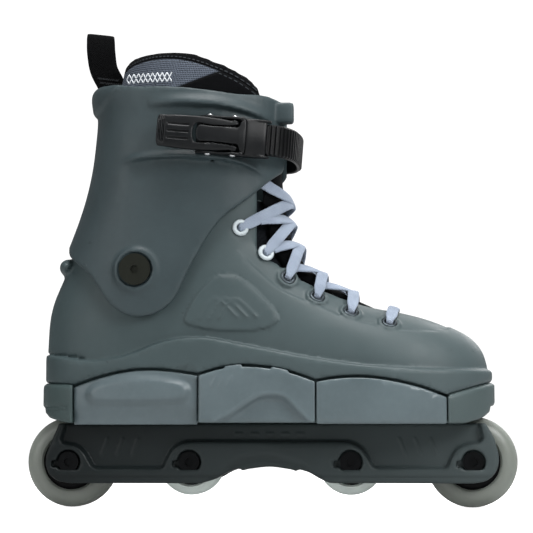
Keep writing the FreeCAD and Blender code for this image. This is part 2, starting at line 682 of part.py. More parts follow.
def place(shape):
    placed = shape.copy()
    placed.rotate(Vector(0, 0, 0), Vector(0, 1, 0), PITCH)
    placed.rotate(Vector(0, 0, 0), Vector(0, 0, 1), YAW)
    placed.translate(Vector(BUCKLE_X, BUCKLE_Y, BUCKLE_Z))
    return placed


def buckle_box(along_min, along_max, out_min, out_max, up_min, up_max):
    return box(along_min, -out_max, up_min, along_max, -out_min, up_max)


def up_cyl(radius, pivot, up_min, up_max):
    along, out = pivot
    return z_cyl(radius, along, -out, up_min, up_max - up_min)


def out_cyl(radius, along, out, up, length):
    return cyl(radius, (along, -out, up), (0, -1, 0), length)


def buckle_base():
    base = buckle_box(-16, 29, 0, 1.5, -12.1, 12.1)
    for up in (-12.1, 10.9):
        base = base.fuse(buckle_box(-12, 12.5, 1.0, 9.2, up, up + 1.2))
        base = base.fuse(buckle_box(12.0, 29, 1.0, 6.8, up, up + 1.2))
    base = base.fuse(buckle_box(15, 29, 5.0, 6.8, -12.1, 12.1))
    for pivot in (LEVER_PIVOT, LATCH_PIVOT):
        base = base.cut(up_cyl(PIN_R + 0.05, pivot, -13, 13))
    for along, up in RIVETS:
        base = base.cut(out_cyl(1.55, along, -1, up, 5)).cut(out_cyl(2.8, along, 0.6, up, 3))
    return base


def buckle_lever():
    lever = buckle_box(-41, -17, 6.5, 10.2, -10.2, 10.2)
    for up in (-10.3, 6.1):
        lever = lever.fuse(buckle_box(-18, 8, 7.7, 10.0, up, up + 4.2))
        lever = lever.fuse(up_cyl(2.6, LEVER_PIVOT, up, up + 4.2))
    for along in (-37.0, -33.0, -29.0):
        lever = lever.cut(buckle_box(along - 0.7, along + 0.7, 9.5, 12, -8.5, 8.5))
    return lever.cut(up_cyl(PIN_R + 0.05, LEVER_PIVOT, -13, 13))


def buckle_latch():
    latch = buckle_box(-16, 15.2, 8.9, 11.0, -5.4, 5.4)
    latch = latch.fuse(buckle_box(11.8, 15.2, 8.9, 11.0, -10.0, 10.0))
    for up in (-5.4, 3.4):
        latch = latch.fuse(buckle_box(-10.4, -5.6, LATCH_PIVOT[1], 9.5, up, up + 2.0))
        latch = latch.fuse(buckle_box(-9.8, -6.2, 4.7, 8, up, up + 2.0))
    latch = latch.fuse(buckle_box(11.8, 13.2, 5.4, 9.5, -5.4, 5.4))
    return latch.cut(up_cyl(PIN_R + 0.05, LATCH_PIVOT, -13, 13))


def latch_spring():
    spring = up_cyl(1.5, LATCH_PIVOT, -3.2, 3.2)
    spring = spring.fuse(buckle_box(-7.9, -2.6, 7.1, 7.5, -0.4, 0.4))
    return spring.cut(up_cyl(PIN_R + 0.03, LATCH_PIVOT, -13, 13))


def buckle_rivet(along, up):
    rivet = out_cyl(1.5, along, -7.0, up, 8.0).fuse(out_cyl(2.6, along, 0.7, up, 0.8))
    return place(rivet).fuse(place(out_cyl(3.0, along, -7.6, up, 1.0)))


save("buckle_base", place(buckle_base()))
save("buckle_lever", place(buckle_lever()))
save("buckle_latch", place(buckle_latch()))
save("buckle_pins", [place(up_cyl(PIN_R, pivot, -12.6, 12.6))
                     for pivot in (LEVER_PIVOT, LATCH_PIVOT)])
save("latch_spring", place(latch_spring()))
save("buckle_rivets", [buckle_rivet(along, up) for along, up in RIVETS])

# ---------------------------------------------------------------- strap and its anchor
STRAP_T, STRAP_W = 2.0, 20.6
TOOTH_H = 0.55
TOOTHED_L = 118              # length of strap with teeth, from the buckle end
# Centre line in plan (x, y) past the buckle, round the front to the medial side
STRAP_LINE = [
    (7.4, -40.9), (13.2, -33.6), (16.6, -24), (18.2, -12), (18.6, 0), (18.2, 12), (16.4, 23),
    (12, 32.0), (4.5, 39.0), (-6, 43.6), (-18, 46.6), (-27, 48.0), (-38, 49.0)]
ANCHOR_X = -33.0
ANCHOR_Z = BUCKLE_Z - (ANCHOR_X - BUCKLE_X) * math.tan(math.radians(PITCH))
SLOT_R, SLOT_L = 2.25, 6.6


def buckle_plan(along, out):
    """Plan position of a point in the buckle's frame, without the pitch."""
    cosine, sine = math.cos(math.radians(YAW)), math.sin(math.radians(YAW))
    return (BUCKLE_X + along * cosine + out * sine, BUCKLE_Y + along * sine - out * cosine)


def anchor_slot():
    slot_end = ANCHOR_X - SLOT_L
    slot = y_cyl(SLOT_R, ANCHOR_X, 40, ANCHOR_Z, 20).fuse([
        y_cyl(SLOT_R, slot_end, 40, ANCHOR_Z, 20),
        box(slot_end, 40, ANCHOR_Z - SLOT_R, ANCHOR_X, 60, ANCHOR_Z + SLOT_R)])
    # guards against the face merge failing; the unmerged slot cuts the same hole
    try:
        slot = slot.removeSplitter()
    except Exception:
        pass
    slot.rotate(Vector(ANCHOR_X, 50, ANCHOR_Z), Vector(0, 1, 0), PITCH)
    return slot


def ratchet_strap():
    centre = [buckle_plan(along, 2.8) for along in (-14, -7, 0, 7, 14, 21, 28)] + STRAP_LINE
    spline = Part.BSplineCurve()
    spline.interpolate([Vector(x, y, 0) for x, y in centre])
    length = spline.length()
    count = int(length / 0.75)
    outer, inner = [], []
    for i in range(count + 1):
        distance = length * i / count
        where = spline.parameterAtDistance(distance)
        point, tangent = spline.value(where), spline.tangent(where)[0]
        inward = Vector(-tangent.y, tangent.x, 0)      # towards the leg
        tooth = TOOTH_H if i % 4 in (0, 1) and distance < TOOTHED_L else 0.0
        inner.append(point + inward * (STRAP_T / 2))
        outer.append(point - inward * (STRAP_T / 2 + tooth))
    strap = poly_face(outer + inner[::-1]).extrude(Vector(0, 0, STRAP_W))
    strap.translate(Vector(-BUCKLE_X, 0, -STRAP_W / 2))
    strap.rotate(Vector(0, 0, 0), Vector(0, 1, 0), PITCH)
    strap.translate(Vector(BUCKLE_X, 0, BUCKLE_Z))
    tail = box(-44.5, 47.95, ANCHOR_Z - 9.8, -37, 49.95, ANCHOR_Z + 11.0)
    return strap.fuse(tail).cut(anchor_slot())


def anchor_screw():
    screw = y_cyl(1.5, ANCHOR_X, 38.6, ANCHOR_Z, 12.5)
    screw = screw.fuse(y_cyl(4.4, ANCHOR_X, 51.0, ANCHOR_Z, 1.9))
    return screw.fuse(y_cyl(2.0, ANCHOR_X, 46.95, ANCHOR_Z, 4.2))


cuff = build_cuff()
for along, up in RIVETS:
    cuff = cuff.cut(place(out_cyl(1.6, along, -12.0, up, 14)))
anchor_boss = y_cyl(5.5, ANCHOR_X, 41, ANCHOR_Z, 5.9)
cuff = cuff.fuse(anchor_boss.cut(cuff_inside)).cut(y_cyl(1.55, ANCHOR_X, 30, ANCHOR_Z, 30))
cuff = largest(cuff)
save("cuff", cuff)
save("ratchet_strap", ratchet_strap())
save("strap_anchor_screw", anchor_screw())
save("strap_anchor_nut", y_tube(3.6, 1.52, ANCHOR_X, 37.9, ANCHOR_Z, 2.2))


# ---------------------------------------------------------------- ankle pivots
def ankle_bolt(side):
    bolt = y_cyl(PIVOT_R, ANKLE_X, 33.2, ANKLE_Z, 11.2, side)
    bolt = bolt.fuse(y_cyl(PIVOT_HEAD_R, ANKLE_X, 44.06, ANKLE_Z, 3.0, side))
    bolt = bolt.fuse(y_cyl(3.0, ANKLE_X, 27.6, ANKLE_Z, 6.0, side))
    socket = hexagon(2.9, lambda x, z: Vector(ANKLE_X + x, side * 44.9, ANKLE_Z + z))
    return bolt.cut(socket.extrude(Vector(0, side * 4, 0)))


save("ankle_bolts", [ankle_bolt(side) for side in SIDES])
save("ankle_nuts", [y_tube(7.0, 3.02, ANKLE_X, 27.6, ANKLE_Z, 2.6, side) for side in SIDES])
save("ankle_washers", [y_tube(9.0, 5.06, ANKLE_X, 39.05, ANKLE_Z, 1.95, side)
                       for side in SIDES])

# ---------------------------------------------------------------- tongue form
# Centre line of the tongue from its toe end up: x, z, half width
TONGUE_LINE = [
    (84, 117.0, 7.0), (70, 123.5, 11), (52, 131.5, 15), (32, 142.5, 18.5), (15.5, 158.0, 21),
    (7.5, 178, 22.5), (4.5, 200, 23.5), (2, 225, 24.0), (-0.5, 245, 24.0), (-3, 262, 23.0)]


def tongue_form(grow):
    """Curved tongue slab, grown by grow across its section and at its toe end."""
    wires = []
    last = len(TONGUE_LINE) - 1
    for i, (x, z, half_w) in enumerate(TONGUE_LINE):
        before, after = TONGUE_LINE[max(i - 1, 0)], TONGUE_LINE[min(i + 1, last)]
        run_x, run_z = after[0] - before[0], after[1] - before[1]
        run = math.hypot(run_x, run_z)
        normal_x, normal_z = run_z / run, -run_x / run
        if i == 0:
            x, z = x - grow * run_x / run, z - grow * run_z / run
        half_t = (3.0 if i < last else 2.2) + grow
        points = []
        for angle in circle_angles(720):
            y = (half_w + grow) * signed_power(math.cos(angle), 0.8)
            rise = half_t * signed_power(math.sin(angle), 0.8) - 0.008 * y * y
            points.append((x + normal_x * rise, y, z + normal_z * rise))
        wires.append(closed_spline(even(points, 22)))
    return loft(wires)


# ---------------------------------------------------------------- liner
LINER_BOT = 79.4
LINER_TOP_CUT = outline((-165, 201), (-120, 201), [(-60, 196), (-20, 190), (30, 184)],
                        (30, 300), (-165, 300))
LINER_MOUTH = [(80, 8), (66, 17.5), (50, 21.5), (30, 25), (10, 28.5), (-8, 30)]
COLLAR_SIDE = outline(
    (-130, 200), (-130, 279),
    [(-116, 279.5), (-104, 282.5), (-93, 286), (-72, 292.5), (-55, 292.3), (-40, 289.5),
     (-25, 285.3), (-13, 280), (-4, 274), (3, 266)],
    (12, 262), (12, 226), (-130, 212))


def liner_boot():
    liner = boot_form(SHELL_T + 0.8, LINER_BOT).cut(boot_form(SHELL_T + 7.0, LINER_BOT + 5.0))
    liner = liner.cut(extrude_side(LINER_TOP_CUT))
    mouth = throat_prism(83, LINER_MOUTH, 100, 120)
    liner = liner.cut(mouth.common(box(-100, -80, 108, 100, 80, 230)))
    for side in SIDES:
        liner = liner.cut(y_cyl(9.0, ANKLE_X, 25.5, ANKLE_Z, 20, side))
    for row in eyelet_rows:
        for spot in row:
            liner = liner.cut(spot_cyl(spot, 6.2, -9.5, 14))
    liner = liner.cut(tongue_form(0.4))
    footbed_room = plan_prism(18.3, LINER_BOT + 5.05, LINER_BOT + 8.3)
    return largest(liner.cut(footbed_room.common(box(-150.4, -60, 80, 128.4, 60, 100))))


def liner_collar():
    inside = leg_loft(CUFF, CUFF_T + 9.6, 198.0, 306.0, 12.0)
    collar = leg_loft(CUFF, CUFF_T + 1.6, 204.0, 300.0, 12.0).cut(inside)
    collar = collar.common(extrude_side(COLLAR_SIDE))
    collar = collar.cut(box(-26, -31.5, 190, 60, 31.5, 310))
    # room for the anchor nut and the rivets' inner ends
    collar = collar.cut(y_cyl(4.6, ANCHOR_X, 30, ANCHOR_Z, 16))
    for along, up in RIVETS:
        collar = collar.cut(place(out_cyl(4.0, along, -14.0, up, 14)))
    return largest(collar)


def footbed():
    slab = plan_prism(18.5, LINER_BOT + 5.1, LINER_BOT + 8.0)
    return slab.common(box(-150, -60, 80, 128, 60, 100))


def heel_pad():
    slab = plan_prism(17.0, FLOOR + 0.05, LINER_BOT - 0.1)
    return slab.common(box(-142, -60, 70, -94, 60, 90))


collar = liner_collar()
save("liner_boot", liner_boot())
save("liner_collar", collar)
save("footbed", footbed())
save("heel_shock_pad", heel_pad())

# ---------------------------------------------------------------- laces and tongue
# Flat bars over the tongue, eyelet to eyelet; the (x, z) direction each bar's face looks
LACE_FACING = [(32, 20), (16, 22), (8, 22), (3, 15), (1, 12.4), (3, 10)]
LACE_T, LACE_HALF_W = 1.6, 3.2
GROOVE_GAP = 0.25            # room round a lace in the tongue


def lean_back(shape, degrees):
    """Copy turned backwards about the ankle."""
    leaning = shape.copy()
    leaning.rotate(Vector(ANKLE_X, 0, ANKLE_Z), Vector(0, 1, 0), -degrees)
    return leaning


def lace_path(row, x, z, facing):
    """(y, height) of a lace's underside, from the lateral to the medial end."""
    y_end = abs(row[0][0].y)
    half = []
    for k in range(8):
        y = (y_end - 0.6) * k / 7.0
        heights = [0.0]
        for side in SIDES:
            start = Vector(x, side * y, z)
            hits = Part.makeLine(start - facing * 30, start + facing * 60).common(shell_form)
            heights += [(vertex.Point - start).dot(facing) for vertex in hits.Vertexes]
        half.append((y, max(heights) + (3.0 if k < 7 else 2.6)))
    return [(-y, height) for y, height in half[::-1]] + half[1:]


def lace_prism(path, x, z, facing, gap):
    """Lace bar grown by gap in thickness and width."""
    across = Vector(-facing.z, 0, facing.x)
    half_w = LACE_HALF_W + gap
    start = Vector(x, 0, z) - across * half_w
    lower = [start + Vector(0, y, 0) + facing * (height - gap) for y, height in path]
    upper = [start + Vector(0, y, 0) + facing * (height + LACE_T + gap) for y, height in path]
    return poly_face(lower + upper[::-1]).extrude(across * (2 * half_w))


# the tongue clears the cuff upright and leaning back
tongue = tongue_form(0.0).cut(lean_back(cuff, 3.4)).cut(cuff)
laces = []
for i, (x, z) in enumerate(EYELETS):
    facing = Vector(LACE_FACING[i][0], 0, LACE_FACING[i][1])
    facing.normalize()
    path = lace_path(eyelet_rows[i], x, z, facing)
    lace = lace_prism(path, x, z, facing, 0.0)
    if i < RING_ROWS:
        for spot in eyelet_rows[i]:
            lace = lace.cut(spot_cyl(spot, 5.5, 0.1, 5.0))
    laces.append(largest(lace))
    tongue = tongue.cut(lace_prism(path, x, z, facing, GROOVE_GAP))
# the tongue's sides stay inside the cuff's front flaps when the cuff leans right back
tongue = largest(tongue)
leaning_inside = lean_back(cuff_inside, 3.6)
for y_min in (16.2, -60.0):
    tongue = tongue.cut(box(-40, y_min, 194, 60, y_min + 43.8, 300).cut(leaning_inside))
save("tongue", largest(tongue))
save("laces", laces)

# ---------------------------------------------------------------- pull loop
LOOP_SIDE = outline(
    (-123.4, 315.6), (-121.5, 317.2), (-109, 315.4), (-107.6, 313.6), (-103.0, 293),
    (-104.0, 280), (-112.2, 279.2), (-117.5, 283))

loop = extrude_side(LOOP_SIDE, -3.6, 3.6)
loop = loop.cut(box(-130, -1.6, 290, -95, 1.6, 312))
for neighbour in (collar, cuff):
    loop = loop.cut(neighbour)
save("pull_loop", largest(loop))
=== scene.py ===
import json
import math
import random
import bpy
import bmesh
import numpy as np
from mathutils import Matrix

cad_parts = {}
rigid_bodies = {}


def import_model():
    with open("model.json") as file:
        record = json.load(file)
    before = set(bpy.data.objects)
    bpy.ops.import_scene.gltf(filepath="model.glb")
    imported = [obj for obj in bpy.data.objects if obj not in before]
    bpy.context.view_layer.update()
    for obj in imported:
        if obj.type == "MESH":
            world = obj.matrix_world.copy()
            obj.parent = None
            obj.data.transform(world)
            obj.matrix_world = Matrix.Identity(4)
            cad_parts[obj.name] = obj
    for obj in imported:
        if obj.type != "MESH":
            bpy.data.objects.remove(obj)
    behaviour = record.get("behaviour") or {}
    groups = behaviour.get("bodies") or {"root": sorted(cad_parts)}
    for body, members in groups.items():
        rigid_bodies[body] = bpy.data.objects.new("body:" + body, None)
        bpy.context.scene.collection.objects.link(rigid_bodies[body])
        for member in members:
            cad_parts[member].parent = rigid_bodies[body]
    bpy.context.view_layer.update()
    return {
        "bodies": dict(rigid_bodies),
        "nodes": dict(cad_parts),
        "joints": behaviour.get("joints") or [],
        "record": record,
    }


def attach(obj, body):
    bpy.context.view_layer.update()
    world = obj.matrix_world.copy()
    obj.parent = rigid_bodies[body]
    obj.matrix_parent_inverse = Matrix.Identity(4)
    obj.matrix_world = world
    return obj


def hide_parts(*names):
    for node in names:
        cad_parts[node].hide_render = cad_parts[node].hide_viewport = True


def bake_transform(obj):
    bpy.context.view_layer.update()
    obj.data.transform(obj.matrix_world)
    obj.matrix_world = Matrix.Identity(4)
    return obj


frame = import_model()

import openvdb as vdb
from mathutils import Matrix, Vector

random.seed(7)
rng = np.random.default_rng(7)
MM = 0.001

# ---------------------------------------------------------------- sizes, millimetres
AXLE_Z, RAIL_Y, WALL_IN = 29.5, 24.0, 13.2
XS = (-131.2, -52.3, 52.3, 131.2)
ANK = (-85.5, 153.0)
PANEL_T = 6.7
SHELL_T, CUFF_T = 4.2, 3.7
PLAN = [(-151.6, 0.0, 0.0), (-149.5, 12.5, 12.5), (-144, 23, 23), (-132, 32.5, 32.5), (-112, 38.8, 38.5),
        (-80, 42.5, 41), (-50, 44.5, 41.5), (-20, 46.5, 42), (10, 49.3, 43), (40, 52.2, 45.5),
        (70, 53, 48), (95, 50.3, 48.3), (115, 43.5, 44.5), (130, 33.3, 37), (140, 21.5, 27.5),
        (145, 11.5, 17), (146.6, 0, 4)]
FOOT = [(-68, 150, 25.0, 25.0), (-48, 158, 31.0, 31.0), (-30, 166, 37.5, 36.5), (-8, 172, 40.0, 38.0), (10, 164, 42.0, 39.5),
        (25, 153, 43.8, 41.0), (40, 143.5, 45.2, 42.3), (55, 136.5, 46.2, 43.6), (71, 131.2, 46.6, 44.6),
        (85, 128.2, 45.8, 44.8), (98, 125.0, 43.4, 43.6), (110, 121.0, 39.0, 40.6), (120, 116.5, 33.5, 36.5),
        (128, 112.4, 27.0, 31.2), (134, 107.6, 20.2, 25.2), (138.5, 101.5, 13.0, 18.5), (141.2, 94, 6.0, 10.0), (142.2, 86, 1.5, 3.0)]
LEG = [(60, -147.0, -20, 35.5), (90, -148.6, -10, 36.6), (107, -148.3, 0, 37.4), (123, -147.3, 9, 38.2),
       (135, -144.4, 13, 38.6), (147, -139.5, 15, 38.6), (160, -133.6, 13.5, 37.8), (175, -127.6, 11, 37.2),
       (190, -121.6, 9, 37.2), (215, -116.4, 8, 37.6)]
CUFF = [(112, -153.5, 14, 44.0), (123, -152.3, 17, 44.8), (135, -149.6, 20, 45.3), (147, -145.2, 21.5, 45.5),
        (160, -139.6, 20.5, 45.2), (171, -134.9, 19, 44.9), (190.5, -127.7, 16, 44.6), (207, -122.8, 14, 44.8),
        (223, -119.5, 13, 45.4), (239, -117.5, 13, 46.0), (255, -116.3, 13, 46.6), (262, -117.6, 13, 47.2),
        (271, -118.6, 13, 47.6), (290, -117, 12, 47.6)]
SC = [(-156, 81.6), (-126.6, 79.4), (-112, 84.2), (-95, 88.3), (-79, 89.9), (-62, 89.0), (-44.7, 86.4),
      (-31, 90.3), (-17, 91.9), (0, 90.8), (16, 87.3), (30.9, 82.1), (45, 84.1), (59.7, 84.6), (76, 83.0),
      (96, 78.6), (114, 72.3), (150, 83.0)]
SC_SEG = [SC[0:2], SC[1:7], SC[6:12], SC[11:17], SC[16:18]]
BAND = [(-156, 100.2), (-147, 99.8), (-119.8, 95.0), (-106.7, 95.3), (-95.8, 97.3), (-84.9, 100.6), (-74, 105), (-63, 108),
        (-48.7, 109.5), (-35.6, 108.7), (-19.3, 105.4), (2.6, 101), (21, 97.3), (54.7, 92), (79, 90), (103, 88.8), (139.5, 89.2), (150, 89.6)]
EYE = [(-18.3, 181.0), (-2.0, 164.8), (12.6, 149.0), (31.6, 136.6), (53.4, 126.6), (78.0, 119.4)]


# ---------------------------------------------------------------- curve and field helpers
def spl(pts, n=10):
    """Dense Catmull-Rom line through pts (open)."""
    p = np.array(pts, float)
    out = []
    for i in range(len(p) - 1):
        a = p[i - 1] if i else 2 * p[0] - p[1]
        b, c = p[i], p[i + 1]
        d = p[i + 2] if i + 2 < len(p) else 2 * p[-1] - p[-2]
        for t in np.arange(n) / n:
            out.append(0.5 * (2 * b + (c - a) * t + (2 * a - 5 * b + 4 * c - d) * t * t + (3 * b - a - 3 * c + d) * t ** 3))
    out.append(p[-1])
    return np.array(out)


def tab(t, table, col):
    p = spl([(r[0], r[col]) for r in table], 12)
    o = np.argsort(p[:, 0], kind="stable")
    return np.interp(t, p[o, 0], p[o, 1])


def sstep(t):
    t = np.clip(t, 0, 1)
    return t * t * (3 - 2 * t)


def smin(a, b, k):
    h = np.clip(0.5 + 0.5 * (b - a) / k, 0, 1)
    return b + (a - b) * h - k * h * (1 - h)


def smax(a, b, k):
    return -smin(-a, -b, k)


def line_d(px, py, pts):
    """Distance to an open polyline."""
    shp = np.broadcast(px, py).shape
    x, y = np.broadcast_to(px, shp).ravel(), np.broadcast_to(py, shp).ravel()
    best = np.full(x.shape, 1e9)
    p = np.asarray(pts, float)
    for a, b in zip(p[:-1], p[1:]):
        d = b - a
        L = max(d @ d, 1e-12)
        t = np.clip(((x - a[0]) * d[0] + (y - a[1]) * d[1]) / L, 0, 1)
        best = np.minimum(best, (x - a[0] - t * d[0]) ** 2 + (y - a[1] - t * d[1]) ** 2)
    return np.sqrt(best).reshape(shp)


def poly_d(px, py, pts):
    """Signed distance to a closed polygon, negative inside."""
    p = np.asarray(pts, float)
    if np.allclose(p[0], p[-1]):
        p = p[:-1]
    q = np.vstack([p, p[:1]])
    d = line_d(px, py, q)
    shp = d.shape
    x, y = np.broadcast_to(px, shp).ravel(), np.broadcast_to(py, shp).ravel()
    ins = np.zeros(x.shape, bool)
    for a, b in zip(q[:-1], q[1:]):
        if a[1] == b[1]:
            continue
        c = ((a[1] > y) != (b[1] > y)) & (x < (b[0] - a[0]) * (y - a[1]) / (b[1] - a[1]) + a[0])
        ins ^= c
    return np.where(ins.reshape(shp), -d, d)


class Vol:
    """A box of sample points, millimetres."""

    def __init__(self, lo, hi, h):
        self.h, self.lo = h, np.array(lo, float)
        n = [int(math.ceil((b - a) / h)) + 1 for a, b in zip(lo, hi)]
        self.x = (lo[0] + h * np.arange(n[0])).astype(np.float32)
        self.y = (lo[1] + h * np.arange(n[1])).astype(np.float32)
        self.z = (lo[2] + h * np.arange(n[2])).astype(np.float32)
        self.X, self.Y, self.Z = self.x[:, None, None], self.y[None, :, None], self.z[None, None, :]
        self.shape = tuple(n)

    def xz(self, f, *a):
        return f(self.x[:, None], self.z[None, :], *a)[:, None, :].astype(np.float32)

    def xy(self, f, *a):
        return f(self.x[:, None], self.y[None, :], *a)[:, :, None].astype(np.float32)


def unit_grad(f, h):
    gx, gy, gz = np.gradient(f, h)
    return f / np.maximum(np.sqrt(gx * gx + gy * gy + gz * gz), 0.25)


def leg_field(v, table, n=2.3):
    z = v.z
    xb, xf, w = (tab(z, table, k).astype(np.float32)[None, None, :] for k in (1, 2, 3))
    a, xc = (xf - xb) / 2, (xf + xb) / 2
    u, q = np.abs(v.X - xc) / a, np.abs(v.Y) / w
    r = np.maximum((u ** n + q ** n) ** (1 / n), 1e-3)
    g = np.sqrt((u ** (n - 1) / a) ** 2 + (q ** (n - 1) / w) ** 2) * r ** (1 - n)
    return ((r - 1) / np.maximum(g, 1.0 / 90)).astype(np.float32)


def foot_field(v, zb=50.0, nu=2.25, nl=6.0):
    x = v.x
    zt, wl, wm = (tab(x, FOOT, k).astype(np.float32)[:, None, None] for k in (1, 2, 3))
    zw = np.float32(zb + 44) * np.ones_like(zt)
    zw = np.minimum(zw, (zb + zt) / 2)
    w = np.where(v.Y > 0, wm, wl)
    H = np.where(v.Z > zw, zt - zw, zw - zb)
    n = np.where(v.Z > zw, np.float32(nu), np.float32(nl))
    u, q = np.abs(v.Y) / w, np.abs(v.Z - zw) / H
    r = np.maximum((u ** n + q ** n) ** (1 / n), 1e-3)
    g = np.sqrt((u ** (n - 1) / w) ** 2 + (q ** (n - 1) / H) ** 2) * r ** (1 - n)
    d = (r - 1) / np.maximum(g, 1.0 / 90)
    d = np.maximum(d, v.X - 142.2)
    return np.maximum(d, -68 - v.X).astype(np.float32)


def plan_pts():
    lat = spl([(x, -a) for x, a, b in PLAN], 8)
    med = spl([(x, b) for x, a, b in PLAN], 8)
    return np.vstack([lat, med[::-1]])


PLAN_P = plan_pts()


def plan_field(v):
    return v.xy(lambda x, y: poly_d(x, y, PLAN_P))


def boot_field(v):
    b = smin(foot_field(v), leg_field(v, LEG), 16.0)
    return unit_grad(b, v.h)


def fn_line(x, pts):
    p = spl(pts, 12) if len(pts) > 2 else np.array(pts, float)
    return np.interp(x, p[:, 0], p[:, 1]).astype(np.float32)


def sc_z(x):
    out = np.zeros_like(x)
    for s in SC_SEG:
        m = (x >= s[0][0]) & (x <= s[-1][0])
        out = np.where(m, fn_line(x, s), out)
    return np.where(out == 0, fn_line(x, SC), out)


# ---------------------------------------------------------------- mesh out
def to_mesh(name, field, v, body, hide=(), mat=None, adapt=0.0, xf=None, smooth=True):
    f = np.clip(field, -4 * v.h, 4 * v.h).astype(np.float32)
    f = np.broadcast_to(f, v.shape).copy()
    f[0, :, :] = f[-1, :, :] = np.maximum(f[0, :, :], v.h)
    for ax in range(3):
        sl = [slice(None)] * 3
        for e in (0, -1):
            sl[ax] = e
            f[tuple(sl)] = np.maximum(f[tuple(sl)], v.h)
    g = vdb.FloatGrid(float(4 * v.h))
    g.copyFromArray(f)
    pts, tris, quads = g.convertToPolygons(isovalue=0.0, adaptivity=adapt)
    pts = np.asarray(pts, float) * v.h + v.lo
    quads = np.asarray(quads, int).reshape(-1, 4)
    tris = np.asarray(tris, int).reshape(-1, 3)
    return build_mesh(name, pts, tris, quads, body, hide, mat, xf, smooth)


def build_mesh(name, pts, tris, quads, body, hide=(), mat=None, xf=None, smooth=True):
    me = bpy.data.meshes.new(name)
    p = pts if xf is None else xf(pts)
    # outward faces
    vol = 0.0
    for F in (quads, tris):
        if len(F):
            for k in range(1, F.shape[1] - 1):
                a, b, c = p[F[:, 0]], p[F[:, k]], p[F[:, k + 1]]
                vol += np.einsum("ij,ij->i", a, np.cross(b, c)).sum()
    if vol < 0:
        quads, tris = quads[:, ::-1], tris[:, ::-1]
    faces = np.concatenate([quads.ravel(), tris.ravel()])
    nq, nt = len(quads), len(tris)
    starts = np.concatenate([np.arange(nq) * 4, nq * 4 + np.arange(nt) * 3])
    me.vertices.add(len(p))
    me.vertices.foreach_set("co", (p * MM).astype(np.float32).ravel())
    me.loops.add(len(faces))
    me.loops.foreach_set("vertex_index", faces.astype(np.int32))
    me.polygons.add(nq + nt)
    me.polygons.foreach_set("loop_start", starts.astype(np.int32))
    me.polygons.foreach_set("use_smooth", np.full(nq + nt, smooth))
    me.update(calc_edges=True)
    me.validate()
    ob = bpy.data.objects.new(name, me)
    bpy.context.scene.collection.objects.link(ob)
    if mat is not None:
        me.materials.append(mat)
    if body:
        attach(ob, body)
    if hide:
        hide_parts(*hide)
    print("piece %-24s verts %7d faces %7d" % (name, len(p), nq + nt))
    return ob


# ---------------------------------------------------------------- materials
class NT:
    def __init__(self, name):
        self.m = bpy.data.materials.new(name)
        self.m.use_nodes = True
        self.t = self.m.node_tree
        self.t.nodes.clear()
        self.out = self.n("ShaderNodeOutputMaterial")
        self.b = self.n("ShaderNodeBsdfPrincipled")
        self.t.links.new(self.b.outputs[0], self.out.inputs[0])
        self.co = self.n("ShaderNodeTexCoord").outputs["Object"]

    def n(self, kind, **kw):
        x = self.t.nodes.new(kind)
        for k, v in kw.items():
            setattr(x, k, v)
        return x

    def l(self, a, b):
        self.t.links.new(a, b)

    def noise(self, scale, detail=4, rough=0.55, vec=None, dist=0.0):
        x = self.n("ShaderNodeTexNoise")
        x.inputs["Scale"].default_value = scale
        x.inputs["Detail"].default_value = detail
        x.inputs["Roughness"].default_value = rough
        x.inputs["Distortion"].default_value = dist
        self.l(vec or self.co, x.inputs["Vector"])
        return x.outputs["Fac"]

    def ramp(self, fac, stops):
        x = self.n("ShaderNodeValToRGB")
        e = x.color_ramp.elements
        while len(e) < len(stops):
            e.new(0.5)
        for i, (p, c) in enumerate(stops):
            e[i].position = p
            e[i].color = (c, c, c, 1) if not isinstance(c, tuple) else (*c, 1)
        self.l(fac, x.inputs[0])
        return x.outputs[0]

    def math(self, op, a, b=0.5, c=None, clamp=False):
        x = self.n("ShaderNodeMath", operation=op)
        x.use_clamp = clamp
        for i, v in enumerate((a, b, c)):
            if v is None:
                continue
            if isinstance(v, (int, float)):
                x.inputs[i].default_value = v
            else:
                self.l(v, x.inputs[i])
        return x.outputs[0]

    def mix(self, fac, a, b, mode="MIX"):
        x = self.n("ShaderNodeMix", data_type="RGBA", blend_type=mode)
        for s, v in ((0, fac), (6, a), (7, b)):
            if isinstance(v, (int, float)):
                x.inputs[s].default_value = v
            elif isinstance(v, tuple):
                x.inputs[s].default_value = (*v, 1)
            else:
                self.l(v, x.inputs[s])
        return x.outputs[2]

    def bump(self, h, strength, dist, prev=None):
        x = self.n("ShaderNodeBump")
        x.inputs["Strength"].default_value = strength
        x.inputs["Distance"].default_value = dist
        self.l(h, x.inputs["Height"])
        if prev is not None:
            self.l(prev, x.inputs["Normal"])
        return x.outputs[0]

    def set(self, **kw):
        for k, v in kw.items():
            s = self.b.inputs[k.replace("_", " ")]
            if isinstance(v, (int, float)):
                s.default_value = v
            elif isinstance(v, tuple):
                s.default_value = (*v, 1) if len(v) == 3 and s.type == "RGBA" else v
            else:
                self.l(v, s)
        return self.m


def lin(r, g, b):
    return tuple(((c / 255 + 0.055) / 1.055) ** 2.4 if c > 10 else c / 255 / 12.92 for c in (r, g, b))


def scale_c(c, k):
    return tuple(min(1.0, q * k) for q in c)


